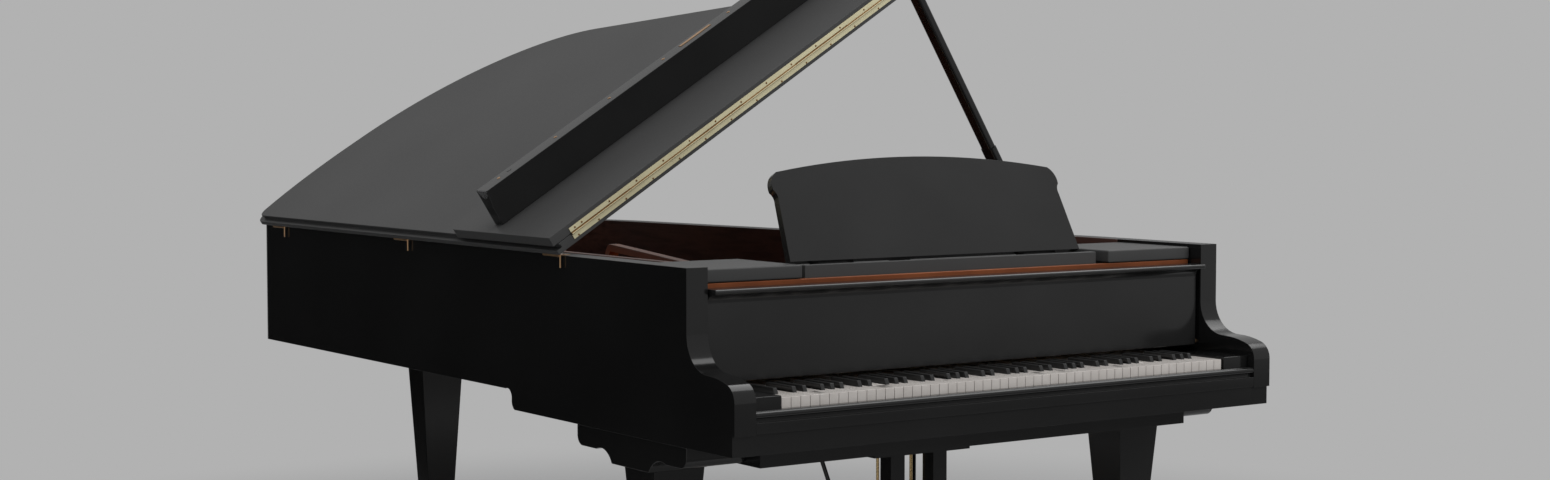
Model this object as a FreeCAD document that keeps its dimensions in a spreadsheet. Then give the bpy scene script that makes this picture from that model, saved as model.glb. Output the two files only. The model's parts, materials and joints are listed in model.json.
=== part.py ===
import FreeCAD, Part
import math
import os
import re

import Sketcher
from FreeCAD import Placement, Rotation, Vector

# Grand piano at rest: lid on its prop, front flap folded back, music desk up, keys free, fallboard open.
# Frame: +X towards the treble, +Y towards the tail, +Z up. The floor is z = 0, the white key fronts
# are y = 0, and x = 0 is the middle of the keyboard. Millimetres and degrees.

SIZES = {
    "case": {
        "half_width": 742, "rim_wall": 51, "apron_low": 617, "rim_lift": 45,
        "rim_low": "apron_low + rim_lift", "foot_lift": 41, "arm_foot": "apron_low + foot_lift",
        "rim_rise": 98, "rim_top": "string_z + rim_rise", "arm_front": -27, "toe_back": 8,
        "toe_front": "arm_front + toe_back", "cheek_front": 145, "cove_radius": 75, "cove_rise": 120,
        "cove_top": "key_top + cove_rise", "crown_radius": 225, "step_length": 58, "step_front": 850,
        "step_bow": "rim_lift / 6",
    },
    "plan curve": {
        "tail_y": 2384.5, "tail_corner": 47, "rise_angle": 18.884, "tail_angle": 14.351,
        "round_angle": 82.175, "hollow_angle": 35.223, "rise_radius": "half_width * 1.324507",
        "tail_radius": "half_width * 0.861097", "round_radius": "half_width * 0.769213",
        "hollow_radius": "half_width * 0.740216", "shoulder_radius": "half_width * 0.605419",
        "bent_ahead": 93.3, "bent_front": "flap_line - bent_ahead",
    },
    "inside of the case": {
        "lining_thick": 3, "lining_gap": 2, "lining_front": "wing_back + lining_gap", "inner_wall": 46,
        "inner_lift": 28, "inner_low": "rim_low + inner_lift", "board_drop": 51,
        "board_low": "string_z - board_drop", "board_thick": 9, "belly_gap": 9,
        "belly_front": "sostenuto_y + belly_gap", "belly_thick": 50, "beam_wide": 70,
        "beam_tall": 80, "beam_count": 3, "beam_pitch": "(half_width - rim_wall) * 0.4",
        "leg_beam_wide": 100, "leg_beam_y": "rear_leg_y - leg_beam_wide / 2", "rib_wide": 25,
        "rib_tall": 20, "rib_start": 155, "rib_first": "belly_front + rib_start", "rib_pitch": 200,
        "rib_count": 8, "rib_gap": 1,
    },
    "keybed": {
        "bed_thick": 43, "bed_gap": 1, "bed_back": "bent_front - bed_gap", "slip_drop": 20.6,
        "slip_top": "key_top - slip_drop", "slip_thick": 21, "bead_radius": 6.5, "bead_drop": 14.4,
        "bead_low": "slip_top - bead_drop", "groove_deep": 3, "groove_tall": 8,
        "groove_low": "bead_low - groove_tall", "slip_gap": 0.3, "block_wide": 75,
        "block_inner": "half_width - rim_wall - block_wide", "block_rise": 5,
        "block_top": "key_top + block_rise", "block_back": 5, "block_deep": "cheek_front - block_back",
        "cross_gap": 1, "cross_half": "bracket_inner - cross_gap", "cross_front": 100, "cross_past": 10,
        "cross_back": "bed_back + cross_past", "cross_tall": 48, "cross_low": "apron_low - cross_tall",
    },
    "keys": {
        "white_count": 52, "note_count": 88, "key_end_gap": 3.44,
        "white_pitch": "2 * (block_inner - key_end_gap) / white_count", "white_gap": 1,
        "key_rise": 65, "key_top": "apron_low + bed_thick + key_rise", "key_tall": 22, "head_deep": 50,
        "key_back": 400, "sharp_wide": "white_pitch * 0.424448", "sharp_rise": 12, "sharp_past": 3,
        "sharp_back": "cheek_front + sharp_past", "sharp_slope": 6, "key_side_gap": 1,
        "key_pivot_y": "hammer_axis_y - pivot_ahead", "pivot_ahead": 30, "fulcrum_radius": 4,
        "key_clear": 0.3, "stick_drop": 3,
    },
    "key frame and action": {
        "frame_gap": 6, "frame_half": "block_inner - frame_gap", "frame_front": 5, "front_rail_wide": 40,
        "rail_room": 13, "front_rail_tall": "key_rise - key_tall - rail_room - key_clear",
        "balance_wide": 40, "back_rail_wide": 40, "stick_wide": 40, "stick_tall": 12, "stick_count": 4,
        "stand_out": 2, "plate_inner": "block_inner + stand_out", "plate_thick": 18, "wing_out": 4,
        "wing_half": "plate_inner + plate_thick + wing_out", "stand_ahead": 25.3,
        "stand_front": "hammer_axis_y - stand_ahead", "stand_rise": 15,
        "stand_top": "hammer_axis_z + stand_rise", "hammer_axis_y": 255, "hammer_rise": 65,
        "hammer_axis_z": "key_top + hammer_rise", "boss_radius": 5, "rail_thick": 20, "shank_thick": 6,
        "hammer_reach": 120, "head_wide": 9, "head_long": 24, "head_rise": 43,
        "head_top": "hammer_axis_z + head_rise", "rest_past": 80,
        "rest_rail_y": "hammer_axis_y + rest_past", "rest_rail_tall": 10,
    },
    "iron plate and strings": {
        "plate_clear": 2, "plate_drop": 30, "plate_low": "string_z - plate_drop", "iron_thick": 16,
        "plate_gap": 5, "plate_front": "fall_back + plate_gap", "web_deep": 118,
        "web_back": "plate_front + web_deep", "window_edge": 112,
        "window_side": "half_width - window_edge", "pinblock_tall": 35,
        "pinblock_low": "plate_low - pinblock_tall", "pinblock_deep": 103,
        "pinblock_back": "plate_front + pinblock_deep", "pin_radius": 3.5, "pin_margin": 30,
        "pin_row_y": "plate_front + pin_margin", "pin_row_pitch": 25, "pin_rise": 20,
        "pin_top": "string_z + pin_rise", "string_rise": 90, "string_z": "hammer_axis_z + string_rise",
        "bass_rise": 16, "bass_z": "string_z + bass_rise", "treble_radius": 0.8, "bass_radius": 2.2,
        "bass_count": 22, "speaking_gap": 50, "speaking_y": "web_back + speaking_gap",
        "fan_y": "hammer_axis_y + hammer_reach - head_long / 2",
        "tail_room": 424.5, "bass_longest": "tail_y - speaking_y - tail_room",
        "bass_fan": 160, "bass_shortest": "bass_longest - bass_fan", "treble_ahead": 140,
        "longest": "bass_longest - treble_ahead", "bridge_half": 15, "bridge_gap": 0.4, "bridge_edge": 2,
        "shortest": "belly_front + bridge_edge + bridge_half - speaking_y",
        "treble_lean_ratio": 0.08, "bass_lean_ratio": 0.2, "tail_least": 60, "tail_ratio": 0.12,
        "window_margin": 12, "strut_rise": 34, "strut_low": "string_z + strut_rise",
        "strut_tall": 20, "strut_wide": 26, "strut_foot": 20, "strut_past": 45, "bar_count": 4,
        "bar_note_count": 16, "treble_rise": 21, "treble_strut_low": "string_z + treble_rise",
        "treble_strut_tall": 12, "bass_bar_drop": 10.5, "bass_bar_x": "half_width * 0.603774",
        "bass_bar_in": 5, "bass_bar_angle": 16.28, "bass_bar_long": "bass_longest * 0.965839",
        "ridge_deep": 17, "ridge_gap": 1, "ridge_high": "wing_low - ridge_gap", "damper_gap_y": 5,
        "damper_y": "key_back + damper_gap_y", "damper_long": 20, "damper_tall": 7,
        "damper_gap": 0.3, "wire_radius": 0.8, "lift_drop": 38,
        "lift_bar_z": "hammer_axis_z - lift_drop", "lift_bar_tall": 8, "damped_count": 66,
        "sostenuto_gap": 11, "sostenuto_y": "damper_y + damper_long + sostenuto_gap",
        "sostenuto_z": "hammer_axis_z", "sostenuto_radius": 4, "blade_short": 16,
        "blade_half": "block_inner - blade_short", "blade_thick": 3, "blade_tall": 14,
    },
    "lid": {
        "open_angle": 32, "lid_thick": 22.5, "lid_gap": 4, "lid_bead_out": 10, "lip_in": 2, "lip_tall": 5,
        "cove_tall": 7, "cove_deep": 3, "flap_out": 12, "flap_line": 637, "flap_back": 2,
        "flap_front": "cheek_front + flap_back",
        "flap_corner": 40, "flap_axis_gap": 3, "flap_lift": 0.3, "batten_inset": 21,
        "batten_half": "half_width - batten_inset", "batten_edge": 227,
        "batten_y": "flap_line - flap_front - batten_edge", "batten_tall": 91.5, "batten_foot": 37,
        "batten_lean": 16, "batten_kink": 43.5, "hinge_inset": 40, "leaf_wide": 10.6, "leaf_thick": 1.5,
        "long_knuckle": 2.8, "long_pin": 1.5, "knuckle_count": 8, "knuckle_gap": 0.5, "pin_play": 0.05,
        "axis_out": 5.5, "spine_knuckle": 3.5, "spine_pin": 2, "spine_hinge_long": 71,
        "spine_leaf_wide": 22, "hinge_front_gap": 8, "hinge_front_y": "flap_line + hinge_front_gap",
        "hinge_rear_gap": 227.5, "hinge_rear_y": "tail_y - hinge_rear_gap",
        "hinge_ratio": 0.497354, "pull_long": 27,
        "hinge_middle_y": "hinge_front_y + (hinge_rear_y - hinge_front_y) * hinge_ratio",
    },
    "prop": {
        "prop_inset": 98, "prop_x": "half_width - prop_inset", "prop_past": 43,
        "prop_y": "flap_line + prop_past", "prop_drop": 23, "prop_z": "rim_top - prop_drop",
        "prop_wide": 36, "prop_thick": 22, "prop_foot": 43, "prop_foot_long": 290, "prop_eye": 14,
        "prop_pin": 5, "prop_eye_wide": 24, "cup_radius": 22, "cup_thick": 4, "seat_gap": 0.3,
        "bracket_drop": 6, "bracket_high": "rim_top - bracket_drop", "bracket_tall": 47,
        "bracket_low": "bracket_high - bracket_tall", "bracket_deep": 40,
    },
    "music desk": {
        "tray_half": "half_width * 0.553908", "wing_beside": 20, "wing_inner": "tray_half + wing_beside",
        "wing_drop": 7, "wing_high": "rim_top - wing_drop", "wing_thick": 28.6,
        "wing_low": "wing_high - wing_thick", "wing_ahead": 20, "wing_front": "tray_front - wing_ahead",
        "wing_deep": 243, "wing_back": "wing_front + wing_deep", "wing_gap": 0.3, "tray_gap": 25,
        "tray_front": "fall_back + tray_gap", "tray_past": 208, "tray_back": "desk_axis_y + tray_past",
        "tray_thick": 13.7, "tray_drop": 28, "tray_high": "rim_top - tray_drop",
        "tray_low": "tray_high - tray_thick", "rail_rise": 18, "rail_high": "tray_high + rail_rise",
        "rail_deep": 20, "ledge_wide": 16, "ledge_inner": "tray_half - ledge_wide", "runner_wide": 39,
        "runner_outer": "tray_half + runner_wide", "ledge_thick": 10,
        "ledge_low": "tray_low - runner_clear - ledge_thick", "runner_clear": 0.3, "runner_gap": 25,
        "runner_front": "fall_back + runner_gap", "runner_past": 80,
        "runner_back": "tray_back + runner_past", "desk_back": 70, "desk_axis_y": "tray_front + desk_back",
        "desk_rise": 12, "desk_axis_z": "tray_high + desk_rise", "desk_angle": 25, "desk_thick": 18,
        "desk_low": 3, "foot_in": 1.5, "desk_foot": "tray_half - foot_in", "waist_in": 13,
        "desk_waist": "tray_half - waist_in", "waist_up": 143, "ear_in": 6,
        "desk_ear": "tray_half - ear_in", "ear_rise": 25, "ear_up": "waist_up + ear_rise",
        "ear_hollow": 17.5,
        "corner_in": 25, "desk_corner": "tray_half - corner_in", "corner_rise": 42,
        "corner_up": "ear_up + corner_rise", "crown_rise": 32, "desk_crown": "corner_up + crown_rise",
        "desk_knuckle": 6, "desk_pin": 3, "ear_edge": 66, "ear_outer": "tray_half - ear_edge",
        "ear_span": 110, "ear_inner": "ear_outer - ear_span", "ear_thick": 15,
        "strut_up": "waist_up - strut_below", "strut_below": 33, "strut_off": 6, "strut_long": 136,
        "strut_half": 30, "strut_thick": 9, "strut_eye": 5.5, "strut_pin": 2.5, "lug_thick": 8,
        "strut_angle": 50.5,
    },
    "fallboard": {
        "fall_gap": 5, "fall_half": "half_width - rim_wall - fall_gap", "fall_back_gap": 10,
        "fall_front": "cheek_front + fall_back_gap", "fall_thick": 22,
        "fall_back": "fall_front + fall_thick",
        "fall_rise": 17, "fall_low": "key_top + fall_rise", "fall_drop": 45,
        "fall_top": "rim_top - fall_drop", "lip_out": 32, "lip_front": "fall_front - lip_out",
        "lip_height": 11, "lip_cove": 19, "axis_in": 6, "fall_axis_y": "fall_front + axis_in",
        "axis_rise": 8, "fall_axis_z": "fall_low + axis_rise", "fall_pin": 5, "fall_pin_deep": 8,
    },
    "legs": {
        "leg_inset": 87, "leg_x": "half_width - leg_inset", "leg_y": 368, "leg_drop": 69,
        "leg_top": "apron_low - leg_drop", "leg_wide": 125, "leg_deep": 119, "rear_leg_deep": 91,
        "leg_foot": 54, "leg_low": 95,
        "rear_leg_inset": 330, "rear_leg_x": "rear_leg_inset - half_width", "rear_leg_ahead": 456,
        "rear_leg_y": "tail_y - rear_leg_ahead", "rear_block": 22, "rear_block_half": 80,
        "rear_block_deep": 100,
        "bracket_half": 219, "bracket_wide": 146, "bracket_inner": "half_width - bracket_wide",
        "bracket_inset": 2, "bracket_edge": 23, "bracket_round": 22, "bracket_side": 78,
        "bracket_neck": "bracket_half - bracket_side", "toe_side": 66,
        "bracket_toe": "bracket_neck - toe_side",
    },
    "casters": {
        "wheel_radius": 35, "wheel_wide": 22, "axle_radius": 5, "trail": 24, "stem_radius": 8,
        "stem_long": 40, "crown_wide": 46, "crown_tall": 12, "fork_clear": 0.3, "cheek_thick": 7,
        "wheel_play": 0.6, "cheek_wide": 24,
    },
    "lyre": {
        "lyre_front": 320, "lyre_deep": 125, "lyre_back": "lyre_front + lyre_deep", "lyre_tall": 47,
        "lyre_low": "cross_low - lyre_tall", "lyre_side": 56, "lyre_half": "post_outer + lyre_side",
        "post_outer": 80, "post_wide": 39, "post_in": 14, "post_front": "lyre_front + post_in",
        "box_side": 12, "box_half": "post_outer + box_side", "box_out": 10,
        "box_front": "lyre_front - box_out", "box_past": 10, "box_back": "lyre_back + box_past",
        "box_low": 60, "box_tall": 90, "box_top": "box_low + box_tall", "box_board": 15, "box_wall": 8,
        "pedal_pitch": 48, "channel_wide": "pedal_wide + 2 * pedal_side", "pedal_side": 3,
        "pedal_wide": 34, "pedal_thick": 12, "pedal_rise": 42, "pedal_z": "box_low + pedal_rise",
        "pedal_out": 105, "pedal_front": "box_front - pedal_out", "pedal_in": 8,
        "pedal_back": "box_back - pedal_in", "axis_back": 70, "pedal_axis_y": "box_back - axis_back",
        "pedal_pin": 4, "rod_in": 30, "rod_y": "box_back - rod_in", "rod_radius": 3.5,
        "rod_hole": 6, "cut_past": 1,
        "rod_gap": 0.3, "shift_rise": 35, "shift_rod_top": "apron_low + shift_rise", "sostenuto_drop": 50,
        "sostenuto_rod_top": "sostenuto_z - sostenuto_drop", "brace_radius": 5, "brace_out": 14,
        "brace_top_x": "lyre_half + brace_out", "brace_top_ahead": 10,
        "brace_top_y": "cross_back - brace_top_ahead", "brace_in": 30,
        "brace_foot_x": "box_half - brace_in", "brace_foot_in": 23,
        "brace_foot_y": "box_back - brace_foot_in",
    },
}

doc = FreeCAD.newDocument("grand_piano")
sheet = doc.addObject("Spreadsheet::Sheet", "Sizes")
LINES = [(section, alias, amount) for section, cells in SIZES.items() for alias, amount in cells.items()]
for row, (section, alias, amount) in enumerate(LINES, 1):
    sheet.set(f"A{row}", section)
    sheet.setAlias(f"B{row}", alias)
for row, (section, alias, amount) in enumerate(LINES, 1):
    sheet.set(f"B{row}", f"={amount}" if isinstance(amount, str) else str(amount))
doc.recompute()
ALIASES = {alias for section, alias, amount in LINES}
WORD = re.compile(r"[a-z_][a-z_0-9]*")
PARTS = {}
PART_TOLERANCE = 1e-7


class Reader:
    """Gives a sheet value by its alias, as in get.rim_top."""

    def __getattr__(self, alias):
        return float(sheet.get(alias))


get = Reader()
WHITE_COUNT = int(get.white_count)
NOTE_COUNT = int(get.note_count)
probe = doc.addObject("App::FeaturePython", "Probe")
probe.addProperty("App::PropertyFloat", "Result")


def formula(text):
    """Writes a formula in aliases as one that names the sheet's cells."""
    return WORD.sub(lambda m: "Sizes." + m.group() if m.group() in ALIASES else m.group(), str(text))


def number(text):
    """Works out a formula in aliases."""
    probe.setExpression("Result", formula(text))
    probe.recompute()
    return probe.Result


def keep(label, obj):
    """Names a finished sub-part."""
    obj.Label = label
    PARTS[label] = obj
    return obj


def place(obj, corner, turn=None):
    """Binds an object's position to the sheet."""
    obj.Placement = Placement(Vector(), turn or Rotation())
    for axis, text in zip("xyz", corner):
        obj.setExpression(f".Placement.Base.{axis}", formula(text))
    return obj


def box(name, low, high):
    """A box between two corners, each written as three formulas."""
    obj = doc.addObject("Part::Box", name)
    for side, a, b in zip(("Length", "Width", "Height"), low, high):
        obj.setExpression(side, formula(f"({b}) - ({a})"))
    return place(obj, low)


ALONG_X = Rotation(Vector(0, 1, 0), 90)
ALONG_Y = Rotation(Vector(1, 0, 0), -90)
ALONG_Z = Rotation()


def cylinder(name, start, radius, length, turn=ALONG_Z):
    obj = doc.addObject("Part::Cylinder", name)
    obj.setExpression("Radius", formula(radius))
    obj.setExpression("Height", formula(length))
    return place(obj, start, turn)


def fuse(name, shapes):
    obj = doc.addObject("Part::MultiFuse", name)
    obj.Shapes = shapes
    obj.Refine = True
    return obj


def cut(name, base, tools):
    tool = tools[0] if len(tools) == 1 else fuse(name + "_tools", tools)
    obj = doc.addObject("Part::Cut", name)
    obj.Base = base
    obj.Tool = tool
    return obj


def common(name, base, tool):
    obj = doc.addObject("Part::Common", name)
    obj.Base = base
    obj.Tool = tool
    return obj


def group(name, members):
    obj = doc.addObject("Part::Compound", name)
    obj.Links = members
    return obj


def mirrored(name, source):
    """The same piece on the other side of the keyboard's middle."""
    obj = doc.addObject("Part::Mirroring", name)
    obj.Source = source
    obj.Normal = Vector(1, 0, 0)
    return obj


def feature(name, shape):
    """A shape worked out from the sheet in code."""
    obj = doc.addObject("Part::Feature", name)
    obj.Shape = shape
    return obj


def padded(name, plane_role, outline, length, both_sides=True):
    """A body: one closed outline, each corner bound to the sheet, padded from an origin plane.

    A corner is (across, up) for a straight side from the corner before it, or (across, up, centre, side)
    for an arc that bulges left (+1) or right (-1) of the way it runs. Its centre is given across for a
    steep arc and up for a shallow one.
    """
    body = doc.addObject("PartDesign::Body", name)
    sketch = body.newObject("Sketcher::SketchObject", name + "_outline")
    plane = [f for f in body.Origin.OriginFeatures if f.Role == plane_role][0]
    sketch.AttachmentSupport = [(plane, "")]
    sketch.MapMode = "FlatFace"
    points = [Vector(number(c[0]), number(c[1]), 0) for c in outline]
    count = len(outline)
    for i, corner in enumerate(outline):
        start, end = points[i - 1], points[i]
        if len(corner) == 2:
            sketch.addGeometry(Part.LineSegment(start, end))
        else:
            sketch.addGeometry(bulged(start, end, number(corner[2]), corner[3]))
    for i, corner in enumerate(outline):
        geometry = sketch.Geometry[i]
        backwards = (geometry.StartPoint - points[i - 1]).Length > (geometry.EndPoint - points[i - 1]).Length
        following = sketch.Geometry[(i + 1) % count]
        next_backwards = (following.StartPoint - points[i]).Length > (following.EndPoint - points[i]).Length
        end_tag = 1 if backwards else 2
        start_tag = 2 if next_backwards else 1
        sketch.addConstraint(Sketcher.Constraint("Coincident", i, end_tag, (i + 1) % count, start_tag))
        across = sketch.addConstraint(Sketcher.Constraint("DistanceX", -1, 1, i, end_tag, points[i].x))
        sketch.setExpression(f"Constraints[{across}]", formula(corner[0]))
        up = sketch.addConstraint(Sketcher.Constraint("DistanceY", -1, 1, i, end_tag, points[i].y))
        sketch.setExpression(f"Constraints[{up}]", formula(corner[1]))
        if len(corner) == 4:
            kind, amount = ("DistanceX", geometry.Center.x) if steep(points[i - 1], points[i]) else (
                "DistanceY", geometry.Center.y)
            bend = sketch.addConstraint(Sketcher.Constraint(kind, -1, 1, i, 3, amount))
            sketch.setExpression(f"Constraints[{bend}]", formula(corner[2]))
    pad = body.newObject("PartDesign::Pad", name + "_pad")
    pad.Profile = sketch
    pad.setExpression("Length", formula(length))
    pad.SideType = "Symmetric" if both_sides else "One side"
    return body


def steep(start, end):
    return abs(end.y - start.y) >= abs(end.x - start.x) - PART_TOLERANCE


def bulged(start, end, centre_at, side):
    """The arc from start to end about a centre with one known coordinate, bulging left or right."""
    chord = end - start
    middle = (start + end) * 0.5
    left = Vector(-chord.y, chord.x, 0).normalize()
    if steep(start, end):
        off = (centre_at - middle.x) / left.x
    else:
        off = (centre_at - middle.y) / left.y
    centre = middle + left * off
    top = centre + left * ((start - centre).Length * side)
    return Part.Arc(end, top, start) if side > 0 else Part.Arc(start, top, end)


# Plan of the case


def heading(angle):
    return Vector(math.cos(math.radians(angle)), -math.sin(math.radians(angle)), 0)


def turn_arc(start, first, last, radius):
    """An arc that leaves start at one heading and ends at another; it bends right when last is larger."""
    side = 1 if last > first else -1
    across = Vector(-math.sin(math.radians(first)), -math.cos(math.radians(first)), 0)
    centre = start + across * (radius * side)

    def at(angle):
        back = Vector(math.sin(math.radians(angle)), math.cos(math.radians(angle)), 0)
        return centre + back * (radius * side)
    return Part.Arc(start, at((first + last) / 2), at(last)), at(last)


def case_edges(front):
    """The outside of the case from the bass front corner round the tail to the treble front corner.

    The straight run of the bent side takes up the case's length, and the flat of the tail its width.
    """
    edges = []
    turns = ((0, get.tail_angle, get.tail_radius), (get.tail_angle, get.round_angle, get.round_radius),
             (get.round_angle, get.hollow_angle, get.hollow_radius),
             (get.hollow_angle, 90, get.shoulder_radius))
    across = sum(abs(sine(last) - sine(first)) * radius for first, last, radius in turns)
    along = sum(abs(cosine(first) - cosine(last)) * radius for first, last, radius in turns)
    run = (get.tail_y - get.bent_front - along) / sine(get.round_angle)
    across += get.tail_corner * (1 - sine(get.rise_angle)) + get.rise_radius * sine(get.rise_angle)
    tail_flat = 2 * get.half_width - across - run * cosine(get.round_angle)
    corner_front = get.tail_y - get.rise_radius * (1 - cosine(get.rise_angle))
    corner_front -= get.tail_corner * cosine(get.rise_angle)
    corner_start = Vector(-get.half_width, corner_front, 0)
    edges.append(Part.LineSegment(Vector(-get.half_width, front, 0), corner_start))
    arc, here = turn_arc(corner_start, -90, -get.rise_angle, get.tail_corner)
    edges.append(arc)
    arc, here = turn_arc(here, -get.rise_angle, 0, get.rise_radius)
    edges.append(arc)
    flat_end = here + Vector(tail_flat, 0, 0)
    edges.append(Part.LineSegment(here, flat_end))
    arc, here = turn_arc(flat_end, 0, get.tail_angle, get.tail_radius)
    edges.append(arc)
    arc, here = turn_arc(here, get.tail_angle, get.round_angle, get.round_radius)
    edges.append(arc)
    straight_end = here + heading(get.round_angle) * run
    edges.append(Part.LineSegment(here, straight_end))
    arc, here = turn_arc(straight_end, get.round_angle, get.hollow_angle, get.hollow_radius)
    edges.append(arc)
    arc, here = turn_arc(here, get.hollow_angle, 90, get.shoulder_radius)
    edges.append(arc)
    edges.append(Part.LineSegment(here, Vector(here.x, front, 0)))
    return [e.toShape() for e in edges]


def sine(angle):
    return math.sin(math.radians(angle))


def cosine(angle):
    return math.cos(math.radians(angle))


FAR_FRONT = -3000


def plan_face(inset, front):
    """The case plan drawn in by an inset and cut straight across at its front."""
    edges = case_edges(FAR_FRONT)
    closing = Part.LineSegment(edges[-1].Vertexes[-1].Point, edges[0].Vertexes[0].Point).toShape()
    wire = Part.Wire(Part.__sortEdges__(edges + [closing]))
    if inset:
        wire = wire.makeOffset2D(-inset)
    face = Part.Face(wire)
    window = Part.makePlane(2 * get.tail_y, 2 * get.tail_y, Vector(-get.tail_y, front, 0))
    return face.common(window).Faces[0]


def slab(inset, front, low, high):
    """The case plan, drawn in by an inset, between two heights."""
    face = plan_face(inset, front)
    face.translate(Vector(0, 0, low))
    return face.extrude(Vector(0, 0, high - low))


def side_prism(wire_edges, half):
    """An outline in the YZ plane carried across the case."""
    face = Part.Face(Part.Wire(wire_edges))
    face.translate(Vector(-half, 0, 0))
    return face.extrude(Vector(2 * half, 0, 0))


def line(a, b):
    return Part.LineSegment(a, b).toShape()


def yz(y, z):
    return Vector(0, y, z)


def build_outer_rim():
    """The bent rim with both arms: a tall ring, then its side profile and its pivot holes are cut."""
    ring = slab(0, get.arm_front, get.apron_low, get.rim_top)
    ring = ring.cut(slab(get.rim_wall, get.arm_front, get.apron_low, get.rim_top))
    reach = 2 * get.half_width
    far = get.tail_y * 2
    # Arm front: straight cheek, cove, flat crown, round nose.
    crown = math.asin(get.cove_radius / get.crown_radius)
    cove_end = yz(get.cheek_front - get.cove_radius, get.cove_top - get.cove_radius)
    crown_centre = yz(cove_end.y, cove_end.z - get.crown_radius)
    lean = math.degrees(crown) * (cove_end.y / get.cove_radius)
    crown_end = crown_centre + yz(-get.crown_radius * sine(lean), get.crown_radius * cosine(lean))
    nose = (crown_end.y - get.arm_front) / (1 - sine(lean))
    nose_centre = crown_end + yz(nose * sine(lean), -nose * cosine(lean))
    nose_middle = nose_centre + yz(-nose * cosine(lean / 2 + 45 - lean), nose * sine(lean / 2 + 45 - lean))
    nose_end = yz(get.arm_front, nose_centre.z)
    cove_middle = yz(get.cheek_front - get.cove_radius * (1 - cosine(45)),
                       get.cove_top - get.cove_radius * sine(45))
    crown_middle = crown_centre + yz(-get.crown_radius * sine(lean / 2),
                                       get.crown_radius * cosine(lean / 2))
    above = get.rim_top + get.rim_wall
    ahead = get.arm_front - get.rim_wall
    arm_cut = [
        line(yz(get.cheek_front, above), yz(get.cheek_front, get.cove_top)),
        Part.Arc(yz(get.cheek_front, get.cove_top), cove_middle, cove_end).toShape(),
        Part.Arc(cove_end, crown_middle, crown_end).toShape(),
        Part.Arc(crown_end, nose_middle, nose_end).toShape(),
        line(nose_end, yz(ahead, nose_end.z)),
        line(yz(ahead, nose_end.z), yz(ahead, above)),
        line(yz(ahead, above), yz(get.cheek_front, above)),
    ]
    ring = ring.cut(side_prism(arm_cut, reach))
    toe = Part.makeBox(2 * reach, get.toe_front - ahead, get.arm_foot - get.apron_low + get.rim_wall,
                       Vector(-reach, ahead, get.apron_low - get.rim_wall))
    ring = ring.cut(toe)
    # Underside: a reversed curve steps up from the keybed's level to the rear of the rim.
    step_back = get.step_front + get.step_length
    middle = yz((get.step_front + step_back) / 2, (get.apron_low + get.rim_low) / 2)
    start = yz(get.step_front, get.apron_low)
    end = yz(step_back, get.rim_low)
    below = get.apron_low - get.rim_wall
    bow = get.step_bow
    lower_middle = (start + middle) * 0.5 + yz(bow, -bow)
    upper_middle = (middle + end) * 0.5 + yz(-bow, bow)
    step_cut = [
        Part.Arc(start, lower_middle, middle).toShape(),
        Part.Arc(middle, upper_middle, end).toShape(),
        line(end, yz(far, get.rim_low)),
        line(yz(far, get.rim_low), yz(far, below)),
        line(yz(far, below), yz(get.step_front, below)),
        line(yz(get.step_front, below), start),
    ]
    ring = ring.cut(side_prism(step_cut, reach))
    inside = get.half_width - get.rim_wall
    for y, z, radius in ((get.fall_axis_y, get.fall_axis_z, get.fall_pin + get.pin_play),
                         (get.sostenuto_y, get.sostenuto_z, get.sostenuto_radius + get.pin_play)):
        length = 2 * (inside + get.fall_pin_deep)
        hole = Part.makeCylinder(radius, length, Vector(-length / 2, y, z), Vector(1, 0, 0))
        ring = ring.cut(hole)
    return ring


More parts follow.
